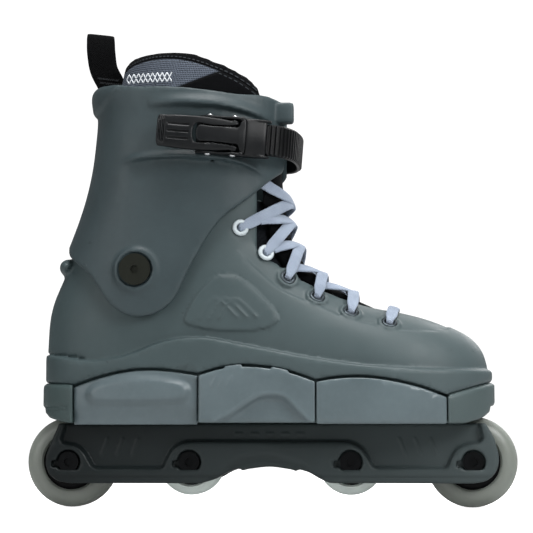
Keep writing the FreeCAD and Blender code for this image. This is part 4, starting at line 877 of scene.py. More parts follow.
def collar_mat(name):
    """Black bound rim, grey open mesh below it and a black padded front, split by a slanted seam."""
    t = NT(name)
    below, ahead, yy = attr_vec(t, "zone")
    s = t.n("ShaderNodeSeparateXYZ")
    t.l(t.co, s.inputs[0])
    x, y, z = (t.math("MULTIPLY", k, 1000.0) for k in s.outputs)
    run = t.math("SUBTRACT", x, t.math("MULTIPLY", y, 0.6))
    d = t.math("MULTIPLY_ADD", z, 0.75, run)
    e = t.math("MULTIPLY_ADD", z, -0.95, run)
    wv = weave(t, d, e, 2.3, 2.3)
    hole = t.ramp(wv, [(0.30, 0.0), (0.52, 1.0)])
    big = t.noise(34, 4)
    fine = t.noise(2600, 2)
    mesh = t.mix(hole, lin(30, 34, 40), lin(92, 99, 110))
    mesh = t.mix(t.ramp(big, [(0.3, 0.0), (0.75, 0.45)]), mesh, lin(70, 76, 86))
    knit = weave(t, run, z, 1.0, 0.8)
    blk = t.mix(knit, lin(2, 3, 4), lin(8, 9, 11))
    blk = t.mix(t.ramp(fine, [(0.5, 0.0), (0.8, 0.22)]), blk, lin(17, 19, 22))
    rim = t.math("LESS_THAN", below, 6.8)
    fwd = t.math("GREATER_THAN", ahead, 0.0)
    inside = t.math("LESS_THAN", yy, -0.1)
    sel = t.math("MAXIMUM", t.math("MAXIMUM", rim, fwd), inside)
    col = t.mix(sel, mesh, blk)
    # seam shadow and its thread
    sd = t.math("ABSOLUTE", ahead)
    bd = t.math("ABSOLUTE", t.math("SUBTRACT", below, 6.8))
    near = t.math("MINIMUM", sd, bd)
    dark = t.math("LESS_THAN", near, 0.55)
    col = t.mix(t.math("MULTIPLY", dark, 0.75), col, lin(6, 7, 8))
    st = t.math("MULTIPLY", t.math("LESS_THAN", t.math("ABSOLUTE", t.math("SUBTRACT", bd, 1.7)), 0.35),
                t.math("GREATER_THAN", t.math("SINE", t.math("MULTIPLY", run, 2 * math.pi / 3.0)), -0.3))
    col = t.mix(t.math("MULTIPLY", st, 0.55), col, lin(70, 74, 78))
    g = t.bump(t.mix(sel, hole, knit), 0.75, 0.00045)
    g = t.bump(t.math("MINIMUM", near, 1.2), 0.7, 0.0006, g)
    g = t.bump(fine, 0.35, 0.00025, g)
    t.set(Base_Color=col, Roughness=0.88, Normal=g, Specular_IOR_Level=0.04, Sheen_Weight=0.02)
    return t.m


def metal(name, rgb, rough=0.32, brushed=0.0, dirt=0.25, metallic=1.0):
    t = NT(name)
    c = lin(*rgb)
    n1 = t.noise(90, 5)
    mp = t.n("ShaderNodeMapping")
    mp.inputs["Scale"].default_value = (300, 300, 2400)
    t.l(t.co, mp.inputs[0])
    lines = t.noise(1.0, 3, 0.6, mp.outputs[0])
    col = t.mix(t.ramp(n1, [(0.4, 0.0), (0.75, dirt)]), c, scale_c(c, 0.45))
    r = t.mix(n1, (rough - 0.08,) * 3, (rough + 0.14,) * 3)
    g = t.bump(lines, 0.15 + brushed, 0.00006)
    g = t.bump(n1, 0.1, 0.0003, g)
    t.set(Base_Color=col, Roughness=r, Normal=g, Metallic=metallic)
    return t.m


def urethane(name, rgb, rgb2, centre_x, rad):
    """Cast urethane: waxy sides, turning marks around the axle, a scuffed running band with picked-up grit."""
    t = NT(name)
    s = t.n("ShaderNodeSeparateXYZ")
    t.l(t.co, s.inputs[0])
    x = t.math("MULTIPLY_ADD", s.outputs[0], 1000.0, -centre_x)
    z = t.math("MULTIPLY_ADD", s.outputs[2], 1000.0, -29.5)
    r = t.math("SQRT", t.math("ADD", t.math("MULTIPLY", x, x), t.math("MULTIPLY", z, z)))
    c, c2 = lin(*rgb), lin(*rgb2)
    n1 = t.noise(55, 5, 0.6)
    n2 = t.noise(420, 3)
    col = t.mix(t.ramp(n1, [(0.3, 0.0), (0.7, 1.0)]), scale_c(c, 0.93), scale_c(c, 1.06))
    band = t.ramp(t.math("DIVIDE", r, rad), [(0.90, 0.0), (0.975, 1.0)])
    wear = t.math("MULTIPLY", band, t.ramp(n2, [(0.25, 0.35), (0.7, 1.0)]))
    col = t.mix(t.math("MULTIPLY", wear, 0.75), col, c2)
    spec = t.ramp(t.noise(1500, 2), [(0.62, 0.0), (0.70, 1.0)])
    col = t.mix(t.math("MULTIPLY", t.math("MULTIPLY", spec, band), 0.45), col, scale_c(c, 0.4))
    ring = t.math("SINE", t.math("MULTIPLY", r, 9.0))
    g = t.bump(ring, 0.10, 0.0002)
    g = t.bump(n2, 0.25, 0.0003, g)
    g = t.bump(t.noise(1800, 2), 0.2, 0.0001, g)
    rr = t.mix(band, (0.36,) * 3, (0.62,) * 3)
    t.set(Base_Color=col, Roughness=rr, Normal=g, Specular_IOR_Level=0.45, Subsurface_Weight=0.12, Subsurface_Radius=(0.004, 0.004, 0.004), Subsurface_Scale=0.5)
    return t.m


M["liner_in"] = fabric("liner_mesh", (14, 16, 19), (26, 29, 33), 1.9, twill=True)
M["collar"] = collar_mat("collar_fabric")
M["tongue"] = fabric("tongue_fabric", (3, 4, 5), (10, 11, 13), 1.3)
M["insole"] = fabric("insole_cover", (28, 30, 34), (48, 51, 56), 1.5)
M["foam"] = fabric("pad_foam", (52, 55, 58), (70, 73, 76), 0.9, rough=0.95, sheen=0.1)
M["lace"] = lace_mat("lace_braid", (176, 188, 204), (112, 123, 141))
M["web"] = web_mat("loop_webbing", (1, 1, 2), (7, 8, 9))
M["thread"] = fabric("sewing_thread", (196, 202, 208), (230, 234, 238), 0.5, strength=0.5)
M["thread_dark"] = fabric("dark_thread", (34, 36, 38), (58, 60, 62), 0.5, strength=0.5)
M["steel"] = metal("bright_steel", (190, 192, 194), 0.26)
M["gun"] = metal("dark_steel", (62, 68, 72), 0.38)
M["bronze"] = metal("bronze_black", (50, 52, 47), 0.40, dirt=0.4)
M["blackbolt"] = metal("blacked_steel", (26, 27, 28), 0.34, dirt=0.3)
M["nut"] = metal("plated_steel", (150, 150, 146), 0.35)
M["spacer"] = metal("alloy_spacer", (168, 170, 172), 0.30)


def paint(mat, *names):
    for n in names:
        ob = frame["nodes"].get(n) if frame else None
        if ob is None:
            continue
        ob.data.materials.clear()
        ob.data.materials.append(mat)


# ---------------------------------------------------------------- buckle, built flat then placed on the cuff
YAW, PITCH = math.radians(6.0), math.radians(4.4)


def place(p):
    """(u, -h, w) millimetres to the row frame."""
    p = np.asarray(p, float)
    x, y, z = p[:, 0], p[:, 1], p[:, 2]
    x, z = x * math.cos(PITCH) + z * math.sin(PITCH), -x * math.sin(PITCH) + z * math.cos(PITCH)
    x, y = x * math.cos(YAW) - y * math.sin(YAW), x * math.sin(YAW) + y * math.cos(YAW)
    return np.stack([x - 30.0, y - 45.0, z + 238.5], 1)


def rbox(v, c, half, r):
    d = None
    for A, cc, hh in zip((v.X, v.Y, v.Z), c, half):
        e = np.abs(A - cc) - (hh - r)
        d = e if d is None else smax(d, e, r * 1.4)
    return d - r


def make_buckle():
    h = 0.42
    # lever
    v = Vol((-44, -13, -13), (13, -3, 13), h)
    H = -v.Y
    out = closed_spl([(-41, -9.2), (-41.6, 0), (-41, 9.2), (-36, 10.3), (-24, 11.0), (-10, 10.9), (3, 9.9), (9.5, 8.8), (10.6, 7.4), (10.6, -7.4), (9.5, -8.8), (3, -9.9), (-10, -10.9), (-24, -11.0), (-36, -10.3)], 6)
    of = v.xz(poly_d, out)
    top = 10.3 + 0.9 * np.cos(np.pi * np.clip((v.X + 14) / 60, -0.5, 0.5)) - 0.010 * v.Z ** 2
    low = np.where(v.X < -17, 6.6, 7.7) + 0 * v.Z
    f = smax(smax(of, H - top, 1.3), low - H, 0.6)
    eye = np.maximum(np.sqrt((v.X - 8) ** 2 + (H - 7.2) ** 2) - 2.6, np.abs(np.abs(v.Z) - 7.9) - 1.9)
    f = smin(f, eye, 0.5)
    slotp = closed_spl([(-17.3, -5.7), (-17.3, 5.7), (-6, 5.8), (4, 6.2), (14, 6.4), (14, -6.4), (4, -6.2), (-6, -5.8)], 6)
    f = smax(f, -v.xz(poly_d, slotp), 0.4)
    for w in (-4.6, 0, 4.6):
        g = np.maximum(np.maximum(np.abs(v.Z - w) - 0.55, -35 - v.X), v.X + 21)
        f = smax(f, -np.maximum(g, 10.0 - H), 0.4)
    for k in range(4):
        g = np.maximum(np.abs(v.X + 40.4 - k * 1.1) - 0.22, 9.4 - H)
        f = smax(f, -np.maximum(g, -np.minimum(10 - np.abs(v.Z), 1)), 0.3)
    f = np.maximum(f, -(np.sqrt((v.X - 8) ** 2 + (H - 7.2) ** 2) - 1.25))
    ob = to_mesh("lever", f.astype(np.float32), v, "lever", ["buckle_lever"], M["buckle"], xf=place, adapt=0.01)
    # latch
    v = Vol((-18, -14, -12), (17, -3, 12), h)
    H = -v.Y
    out = closed_spl([(-15.2, -4.6), (-15.2, 4.6), (-6, 4.9), (6, 5.3), (10.6, 5.6), (12.4, 9.4), (15.4, 9.8), (15.4, -9.8), (12.4, -9.4), (10.6, -5.6), (6, -5.3), (-6, -4.9)], 6)
    of = v.xz(poly_d, out)
    top = 11.4 - 0.03 * np.clip(v.X, 0, 16) - 0.012 * v.Z ** 2
    f = smax(smax(of, H - top, 0.8), 8.7 - H, 0.4)
    leg = np.maximum(np.abs(np.abs(v.Z) - 4.2) - 0.8, np.maximum(np.abs(v.X + 8) - 2.3, np.abs(H - 7.0) - 2.6))
    f = smin(f, leg, 0.4)
    paw = np.maximum(np.maximum(np.abs(v.X - 12.5) - 0.8, np.abs(H - 7.6) - 2.0), np.abs(v.Z) - 5)
    f = smin(f, paw, 0.4)
    f = np.maximum(f, -(np.sqrt((v.X + 8) ** 2 + (H - 6.0) ** 2) - 1.25))
    ob = to_mesh("release_latch", f.astype(np.float32), v, "latch", ["buckle_latch"], M["buckle"], xf=place, adapt=0.01)
    # base and cover
    v = Vol((-18, -12, -15), (32, 1.5, 15), h)
    H = -v.Y
    f = rbox(v, (6.5, -0.75, 0), (22.5, 0.75, 12.1), 0.5)
    for s in (-1, 1):
        ear = closed_spl([(-12, 1), (-12.4, 6.5), (-9, 8.8), (-3, 8.2), (3, 9.0), (9, 10.2), (13, 9.2), (14.6, 6.8), (28.6, 6.6), (28.8, 1)], 5)
        e2 = poly_d(v.x[:, None], -v.y[None, :], ear)[:, :, None].astype(np.float32)
        f = smin(f, smax(e2, np.abs(s * v.Z - 11.6) - 0.75, 0.5), 0.5)
    cov = smax(smax(smax(np.abs(v.X - 22.2) - 6.9, np.abs(v.Z) - 12.3, 1.6), H - (9.3 - 0.17 * (v.X - 15.3)) - 0.3 + 0.012 * v.Z ** 2, 1.4), 5.0 - H, 0.3)
    f = smin(f, cov, 0.4)
    for s in (-1, 1):
        knob = np.sqrt((v.X - 13.2) ** 2 + (v.Z - s * 11.2) ** 2 * 0.8 + (H - 8.2) ** 2) - 1.7
        f = smin(f, knob, 0.5)
    for u, hh in ((8, 7.2), (-8, 6.0)):
        f = np.maximum(f, -(np.sqrt((v.X - u) ** 2 + (H - hh) ** 2) - 1.25 + 0 * v.Z))
    for u, w in ((-12.5, 0.0), (3.0, 6.5), (3.0, -6.5)):
        r = np.sqrt((v.X - u) ** 2 + (v.Z - w) ** 2)
        f = np.maximum(f, -(r - 1.55 + 0 * v.Y))
        f = np.maximum(f, -np.maximum(r - 2.8, 0.6 - H))
    ob = to_mesh("buckle_frame", f.astype(np.float32), v, "cuff", ["buckle_base"], M["buckle"], xf=place, adapt=0.01)


def frames(path, ref):
    """Tangent, width and normal directions along a path, with a wanted normal at each point."""
    t = np.gradient(path, axis=0)
    t /= np.linalg.norm(t, axis=1)[:, None]
    n = ref - (ref * t).sum(1)[:, None] * t
    n /= np.maximum(np.linalg.norm(n, axis=1), 1e-9)[:, None]
    return t, np.cross(t, n), n


def ribbon(path, ref, width, thick, nseg=16, power=0.55, caps=True, lift=None):
    """Closed flat strip with rounded edges: points, faces and (length, across) marks."""
    path = np.asarray(path, float)
    t, w, n = frames(path, np.asarray(ref, float))
    L = np.concatenate([[0], np.cumsum(np.linalg.norm(np.diff(path, axis=0), axis=1))])
    ang = 2 * np.pi * np.arange(nseg) / nseg
    cw = np.sign(np.cos(ang)) * np.abs(np.cos(ang)) ** power
    cn = np.sign(np.sin(ang)) * np.abs(np.sin(ang)) ** 0.8
    W = np.broadcast_to(width, (len(path),)) / 2
    T = np.broadcast_to(thick, (len(path),)) / 2
    P = path[:, None, :] + w[:, None, :] * (W[:, None] * cw)[..., None] + n[:, None, :] * (T[:, None] * cn)[..., None]
    m = len(path)
    idx = np.arange(m * nseg).reshape(m, nseg)
    q = np.stack([idx[:-1], np.roll(idx, -1, 1)[:-1], np.roll(idx, -1, 1)[1:], idx[1:]], -1).reshape(-1, 4)
    pts = P.reshape(-1, 3)
    mark = np.stack([np.repeat(L, nseg), np.tile(cw, m) * np.repeat(W, nseg), np.tile(cn, m)], 1)
    tris = []
    if caps:
        c0, c1 = len(pts), len(pts) + 1
        pts = np.vstack([pts, P[0].mean(0), P[-1].mean(0)])
        mark = np.vstack([mark, mark[:nseg].mean(0), mark[-nseg:].mean(0)])
        for k in range(nseg):
            tris.append((c0, idx[0, (k + 1) % nseg], idx[0, k]))
            tris.append((c1, idx[-1, k], idx[-1, (k + 1) % nseg]))
    return pts, q, np.array(tris, int).reshape(-1, 3), mark


def join(parts):
    P, Q, T, K, o = [], [], [], [], 0
    for p, q, t, k in parts:
        P.append(p)
        Q.append(q + o)
        T.append(t + o)
        K.append(k)
        o += len(p)
    return np.vstack(P), np.vstack(Q), np.vstack(T), np.vstack(K)


def put_marks(ob, marks, name="lay"):
    a = ob.data.attributes.new(name, "FLOAT_VECTOR", "POINT")
    a.data.foreach_set("vector", np.asarray(marks, np.float32).ravel())


def make_strap():
    c6, s6 = math.cos(YAW), math.sin(YAW)
    bp = lambda u, hh: (-30.0 + u * c6 + hh * s6, -45.0 + u * s6 - hh * c6)
    ctrl = [bp(u, 2.8) for u in (-14, -7, 0, 7, 14, 21, 28)] + [
        (7.4, -40.9), (13.2, -33.6), (16.6, -24), (18.2, -12), (18.6, 0), (18.2, 12), (16.4, 23), (12, 32.0),
        (4.5, 39.0), (-6, 43.6), (-18, 46.6), (-27, 48.0), (-38, 49.0), (-44, 49.4)]
    c = spl(ctrl, 40)
    L = np.concatenate([[0], np.cumsum(np.linalg.norm(np.diff(c, axis=0), axis=1))])
    n = int(L[-1] / 0.30)
    s = np.linspace(0, L[-1], n)
    x, y = np.interp(s, L, c[:, 0]), np.interp(s, L, c[:, 1])
    t = np.stack([np.gradient(x), np.gradient(y)], 1)
    t /= np.linalg.norm(t, axis=1)[:, None]
    nrm = np.stack([t[:, 1], -t[:, 0]], 1)           # away from the leg
    ph = (s % 3.0) / 3.0
    rib = np.clip((0.27 - np.abs(ph - 0.5)) / 0.07, 0, 1)
    rib = rib * ((s < 120) & (s > 2))
    zhalf = 10.3
    cols = [-zhalf, -zhalf + 0.5, -zhalf + 1.3, -zhalf + 1.7, -4, 4, zhalf - 1.7, zhalf - 1.3, zhalf - 0.5, zhalf]
    up, dn = [], []
    for k, z in enumerate(cols):
        edge = min(k, len(cols) - 1 - k)
        th = {0: 0.45, 1: 0.95}.get(edge, 1.0)
        r = 0.0 if edge < 2 else 1.2
        hgt = th + r * rib
        up.append(np.stack([x + nrm[:, 0] * hgt, y + nrm[:, 1] * hgt, np.full(n, z)], 1))
        dn.append(np.stack([x - nrm[:, 0] * th, y - nrm[:, 1] * th, np.full(n, z)], 1))
    ring = np.stack(up + dn[::-1], 1)
    # tail and head rounded in height
    e = np.minimum(s, s[-1] - s)
    k = np.sqrt(np.clip(1 - (1 - np.clip(e / 5.0, 0, 1)) ** 2, 0.02, 1))
    ring[:, :, 2] *= (0.55 + 0.45 * k)[:, None]
    p = ring.reshape(-1, 3)
    m = ring.shape[1]
    p[:, 0] += 30.0
    X, Z = p[:, 0].copy(), p[:, 2].copy()
    p[:, 0] = X * math.cos(PITCH) + Z * math.sin(PITCH) - 30.0
    p[:, 2] = -X * math.sin(PITCH) + Z * math.cos(PITCH) + 238.5
    idx = np.arange(n * m).reshape(n, m)
    q = np.stack([idx[:-1], np.roll(idx, -1, 1)[:-1], np.roll(idx, -1, 1)[1:], idx[1:]], -1).reshape(-1, 4)
    cap = []
    for row, rev in ((0, False), (n - 1, True)):
        for a in range(m // 2 - 1):
            f = [idx[row, a], idx[row, a + 1], idx[row, m - 2 - a], idx[row, m - 1 - a]]
            cap.append(f[::-1] if not rev else f)
    q = np.vstack([q, np.array(cap)])
    ob = build_mesh("ribbed_strap", p, np.zeros((0, 3), int), q, "strap", ["ratchet_strap"], M["strap"])
    ob.data.polygons.foreach_set("use_smooth", np.ones(len(ob.data.polygons), bool))
    m2 = ob.modifiers.new("edge", "EDGE_SPLIT")
    m2.split_angle = math.radians(38)


# ---------------------------------------------------------------- eyelets and laces
def lathe(prof, p, n, seg=28):
    n = n / np.linalg.norm(n)
    a = np.cross(n, [0, 0, 1.0])
    a /= np.linalg.norm(a)
    b = np.cross(n, a)
    P = []
    for r, z in prof:
        for k in range(seg):
            th = 2 * np.pi * k / seg
            P.append(p + n * z + (a * math.cos(th) + b * math.sin(th)) * r)
    m = len(prof)
    idx = np.arange(m * seg).reshape(m, seg)
    nx = np.roll(idx, -1, 0)
    q = np.stack([idx, np.roll(idx, -1, 1), np.roll(nx, -1, 1), nx], -1).reshape(-1, 4)
    return np.array(P), q, np.zeros((0, 3), int), np.zeros((len(P), 3))


def make_eyelets(holes):
    white = [lathe([(2.45, -4.5), (2.45, -0.5), (2.6, 0.7), (3.1, 1.45), (3.9, 1.75), (4.7, 1.55), (5.35, 1.0), (5.5, 0.3), (5.3, 0.1), (3.25, 0.1), (3.2, -4.5)], p, n)
             for i, s, p, n in holes if i < 2]
    dark = [lathe([(2.7, -4.0), (2.7, -0.6), (2.9, 0.0), (3.5, 0.28), (4.4, 0.22), (5.15, -0.1), (5.25, -0.45), (3.5, -0.5), (3.3, -4.0)], p, n)
            for i, s, p, n in holes if i >= 2]
    for nm, parts, node, mat, sl in (("eyelets_white", white, "eyelet_rings", M["eyelet"], "white_plastic"), ("eyelets_dark", dark, "eyelet_ferrules", M["gun"], "dark_steel")):
        p, q, t, _ = join(parts)
        ob = build_mesh(nm, p, t, q, "boot", [node], mat)


CEN = [(12.6, 199.5), (13.0, 186.0), (18.6, 169.8), (33.4, 150.6), (53.8, 137.8), (80.6, 127.4)]
TUCK = [(-2.5, 210), (-2.0, 187.5), (6.0, 169.5), (18.0, 156), (35.5, 144.5)]
TUCK_Y = [25.5, 26.5, 24.5, 22.5, 19.8]


def make_laces(base, v, holes):
    parts = []
    hp = {(i, s): (p, n) for i, s, p, n in holes}
    for i in range(6):
        for s in (-1, 1):
            p, n = hp[(i, s)]
            c = np.array([CEN[i][0], 0.0, CEN[i][1]])
            cn = np.array([c[0] - EYE[i][0], 0, c[2] - EYE[i][1]])
            cn /= np.linalg.norm(cn)
            if i == 5:
                if s > 0:
                    continue
                p2, n2 = hp[(5, 1)]
                pts = [p - n * 4, p - n * 0.5 + 0, p + n * 1.9 + (c - p) * 0.06]
                rf = [np.array([0, -1.0, 0.2]), n, n]
                for k in (0.3, 0.55, 0.8):
                    m = p + (c - p) * k
                    y = m[1]
                    m = np.array([m[0], y, m[2]]) + (n * (1 - k) + cn * k) * (1.9 + 5.4 * math.sin(math.pi * k) * 0.75)
                    pts.append(m)
                    rf.append(n * (1 - k) + cn * k)
                pts += [c + cn * 0.9]
                rf += [cn]
                mir = [(q * [1, -1, 1], r * [1, -1, 1]) for q, r in list(zip(pts, rf))[:-1]][::-1]
                off = (p2 - p * [1, -1, 1])
                pts += [q + off * min(1, abs(q[1]) / abs(p2[1])) for q, r in mir]
                rf += [r for q, r in mir]
            else:
                up = 1.5 if s > 0 else -0.2
                pts = [p - n * 4, p - n * 0.4, p + n * 1.8 + (c - p) * 0.05]
                rf = [np.array([0.2, s * 1.0, 0.2]), n, n]
                for k in (0.25, 0.5, 0.76):
                    ke = 1 - (1 - k) ** 1.7
                    m = p + (c - p) * np.array([ke, k, ke])
                    kk = k ** 2.0
                    nn = n * (1 - kk) + cn * kk
                    nn /= np.linalg.norm(nn)
                    bulge = (1.9 + 3.6 * math.sin(math.pi * k) * 0.8)
                    pts.append(m + nn * bulge)
                    rf.append(nn)
                pts.append(c + cn * up)
                rf.append(cn)
                e = np.array([TUCK[i][0], -s * TUCK_Y[i], TUCK[i][1]])
                en = n * [1, -1, 1]
                for k in (0.28, 0.58, 0.84):
                    ke = k ** 1.7
                    m = c + (e - c) * np.array([ke, k, ke])
                    nn = cn * (1 - k) + en * k
                    nn /= np.linalg.norm(nn)
                    pts.append(m + nn * (up * (1 - k) + 2.6 * math.sin(math.pi * k) * 0.8))
                    rf.append(nn)
                pts.append(e - en * 0.4)
                rf.append(en)
                d = e - c
                d /= np.linalg.norm(d)
                pts.append(e + d * 5 - en * 3.6)
                rf.append(en)
            P = np.array(pts)
            R = np.array(rf)
            path = spl(P, 9)
            ref = spl(R, 9)
            wd = np.full(len(path), 7.6)
            k0 = np.linalg.norm(path - p, axis=1)
            wd = np.where(k0 < 7, 4.6 + 3.0 * sstep(k0 / 7), wd)
            rb = ribbon(path, ref, wd, 2.3, 20, 0.7)
            parts.append(rb)
    p, q, t, k = join(parts)
    ob = build_mesh("lace", p, t, q, "boot", ["laces"], M["lace"])
    put_marks(ob, k)
    sub = ob.modifiers.new("soft", "SUBSURF")
    sub.levels = sub.render_levels = 1


# ---------------------------------------------------------------- liner
RIM = spl([(-112, 290), (-104, 291.5), (-97, 294), (-90, 296.6), (-77, 298.8), (-63, 298.8), (-52, 297.0), (-42, 294.0), (-24.4, 286.8),
           (-11.5, 279.2), (-3.8, 273.0), (2, 266.8), (7, 259.5), (12, 252)], 10)
COLLAR = [(200, -114.5, 7, 37.6), (215, -110.5, 7.5, 37.8), (232, -110, 8.5, 38.6), (252, -109.4, 10, 40.4), (264, -108.5, 10, 41.2), (272, -104.0, 9.5, 40.4),
          (280, -100.4, 8.5, 39.4), (290, -99.0, 6.5, 38.4), (302, -98.6, 4, 37.6)]


def rim_z(x):
    return np.interp(x, RIM[:, 0], RIM[:, 1])


def liner_fields(v):
    low = boot_field(v) + SHELL_T + 0.9
    top = unit_grad(leg_field(v, COLLAR), v.h) + 0.6
    w = sstep((v.Z - 196) / 22)
    return (low * (1 - w) + top * w).astype(np.float32)


def make_liner():
    h = 1.6
    v = Vol((-145, -48, 77), (140, 48, 226), h)
    o = liner_fields(v)
    f = smax(o, -(o + 6.4), 2.0)
    inn = np.maximum(o + 6.4, 84.5 - v.Z)
    f = smax(smax(o, 79.4 - v.Z, 2.0), -inn, 1.5)
    mouth = np.array([(81, 0)] + list(map(tuple, spl([(79, 4), (66, 7.0), (50, 9.0), (30, 11), (10, 12.0), (-8, 12)], 6))) + [(-12, 12), (-12, -12)] + list(map(tuple, spl([(-8, -12), (10, -12.0), (30, -11), (50, -9.0), (66, -7.0), (79, -4)], 6))))
    m = np.maximum(v.xy(poly_d, mouth), 108 - v.Z)
    f = smax(f, -m, 3.0)
    lid = v.xz(poly_d, [(-200, 300), (-200, 214), (-118, 214), (-60, 208), (-20, 201), (60, 196), (60, 300)])
    f = smax(f, -lid, 3.0)
    for s in (-1, 1):
        r = np.sqrt((v.X - ANK[0]) ** 2 + (v.Z - ANK[1]) ** 2)
        f = smax(f, -np.maximum(r - 9.5, 25.0 - s * v.Y), 1.0)
    ob = to_mesh("liner_lower", f.astype(np.float32), v, "boot", ["liner_boot"], M["liner_in"], adapt=0.02)
    return ob


def cloth_puff(ob, voxel, pressure, cap, pins=None, frames_n=20):
    """Inflates a closed mesh with a short cloth run and applies it, never moving a point more than cap."""
    src = ob
    bpy.context.view_layer.update()
    me = src.data.copy()
    tmp = bpy.data.objects.new(src.name + "_sim", me)
    bpy.context.scene.collection.objects.link(tmp)
    bpy.ops.object.select_all(action="DESELECT")
    tmp.select_set(True)
    bpy.context.view_layer.objects.active = tmp
    rm = tmp.modifiers.new("r", "REMESH")
    rm.mode = "VOXEL"
    rm.voxel_size = voxel
    rm.use_smooth_shade = True
    bpy.ops.object.modifier_apply(modifier="r")
    co0 = np.array([q.co for q in tmp.data.vertices], float)
    if pins is not None:
        w = pins(co0 / MM)
        vg = tmp.vertex_groups.new(name="pin")
        for i, a in enumerate(w):
            if a > 0.01:
                vg.add([i], float(a), "REPLACE")
    cl = tmp.modifiers.new("c", "CLOTH")
    s = cl.settings
    s.quality = 6
    s.mass = 0.25
    s.tension_stiffness = s.compression_stiffness = 12
    s.shear_stiffness = 6
    s.bending_stiffness = 0.6
    s.use_pressure = True
    s.uniform_pressure_force = pressure
    s.effector_weights.gravity = 0
    if pins is not None:
        s.vertex_group_mass = "pin"
    cl.point_cache.frame_start, cl.point_cache.frame_end = 1, frames_n
    sc = bpy.context.scene
    for k in range(1, frames_n + 1):
        sc.frame_set(k)
    dg = bpy.context.evaluated_depsgraph_get()
    ev = tmp.evaluated_get(dg)
    co1 = np.array([q.co for q in ev.data.vertices], float)
    d = co1 - co0
    L = np.linalg.norm(d, axis=1)
    d *= np.minimum(1, cap * MM / np.maximum(L, 1e-9))[:, None]
    tmp.modifiers.clear()
    tmp.data.vertices.foreach_set("co", (co0 + d).astype(np.float32).ravel())
    tmp.data.update()
    sc.frame_set(1)
    sm = tmp.modifiers.new("m", "SMOOTH")
    sm.factor = 0.5
    sm.iterations = 5
    bpy.ops.object.modifier_apply(modifier="m")
    print("cloth", src.name, "points", len(co0), "moved mean %.2f max %.2f mm" % (L.mean() / MM, L.max() / MM))
    sb = tmp.modifiers.new("s", "SUBSURF")
    sb.levels = sb.render_levels = 1
    bpy.ops.object.modifier_apply(modifier="s")
    return tmp


def make_collar():
    h = 1.5
    v = Vol((-120, -46, 208), (14, 46, 301), h)
    o = unit_grad(leg_field(v, COLLAR), v.h)
    T = 8.8
    f = smax(o, -(o + T), 4.0)
    rz = rim_z(v.x)[:, None, None]
    f = smax(f, v.Z - rz, 4.6)
    low = v.xz(poly_d, [(-200, 150), (-200, 213), (-120, 213), (14, 226), (60, 226), (60, 150)])
    f = smax(f, -low, 4.0)
    gap = np.maximum(np.abs(v.Y) - 25.5, -24 - v.X)
    f = smax(f, -gap, 3.5)
    ob = to_mesh("liner_collar", f.astype(np.float32), v, None, (), M["collar"], adapt=0.0)

    def pins(c):
        x, z = c[:, 0], c[:, 2]
        seam = np.abs(panel_d(x, z)) < 2.4
        bind = (np.abs((rim_z(x) - z) - 6.8) < 1.6) | (rim_z(x) - z < 2.4)
        deep = z < 250
        return np.where(seam | bind | deep, 1.0, 0.0)

    new = cloth_puff(ob, 0.0036, 4.0, 2.2, pins)
    bpy.data.objects.remove(ob)
    new.name = "liner_collar"
    ob = new
    ob.data.materials.clear()
    ob.data.materials.append(M["collar"])
    ob.data.polygons.foreach_set("use_smooth", np.ones(len(ob.data.polygons), bool))
    c = np.array([q.co for q in ob.data.vertices], float) / MM
    ob.data.update()
    nr = np.array([q.normal for q in ob.data.vertices], float)
    rad = c - np.array([-52.0, 0, 0])
    rad[:, 2] = 0
    rad /= np.maximum(np.linalg.norm(rad, axis=1), 1e-6)[:, None]
    put_marks(ob, np.stack([rim_z(c[:, 0]) - c[:, 2], panel_d(c[:, 0], c[:, 2]), (nr * rad).sum(1)], 1), "zone")
    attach(ob, "cuff")
    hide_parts("liner_collar")
    return ob


def panel_d(x, z):
    """Distance from the slanted seam: positive on the forward side."""
    a, b = np.array([-57.0, 273.0]), np.array([-26.0, 285.0])
    t = (b - a) / np.linalg.norm(b - a)
    return (x - a[0]) * t[1] - (z - a[1]) * t[0]


def make_stitching():
    """A plain zigzag row, sewn on the collar just above the cuff."""
    parts = []
    for row, z0 in ((0, 277.2), (1, 280.4)):
        xs = np.arange(-93, -62, 0.25)
        zz = z0 + 1.5 * np.abs(((xs + (0 if row == 0 else 1.6)) % 3.2) / 1.6 - 1) * 2 - 1.5 - 0.0
        a, w, n = 59.0, 43.0, 2.3
        pts = []
        for x, z in zip(xs, zz):
            pts.append((x, -collar_y(x, z), z))
        pts = np.array(pts)
        ref = np.tile([0, -1.0, 0.1], (len(pts), 1))
        parts.append(ribbon(pts, ref, 0.75, 0.6, 8, 1.0))
    p, q, t, k = join(parts)
    ob = build_mesh("collar_stitching", p, t, q, "cuff", (), M["thread"])


_cs = {}


def collar_y(x, z):
    """Outer side of the collar at x, z, read from its finished mesh."""
    if "t" not in _cs:
        from mathutils.bvhtree import BVHTree
        ob = bpy.data.objects["liner_collar"]
        bm_ = bmesh.new()
        bm_.from_mesh(ob.data)
        _cs["t"] = BVHTree.FromBMesh(bm_)
        bm_.free()
    h = _cs["t"].ray_cast(Vector((x * MM, -0.08, z * MM)), Vector((0, 1, 0)))
    return (-h[0].y / MM + 0.15) if h[0] is not None else 40.0


T_LINE = [(84, 118.0, 8.0), (70, 125.5, 12.5), (52, 134.0, 16.5), (33, 145.5, 19.5), (17.5, 160.0, 22.0), (9.0, 179, 24),
          (6.0, 200, 25.5), (3.5, 222, 26.5), (1.0, 243, 26.5), (-2, 262, 25.0)]


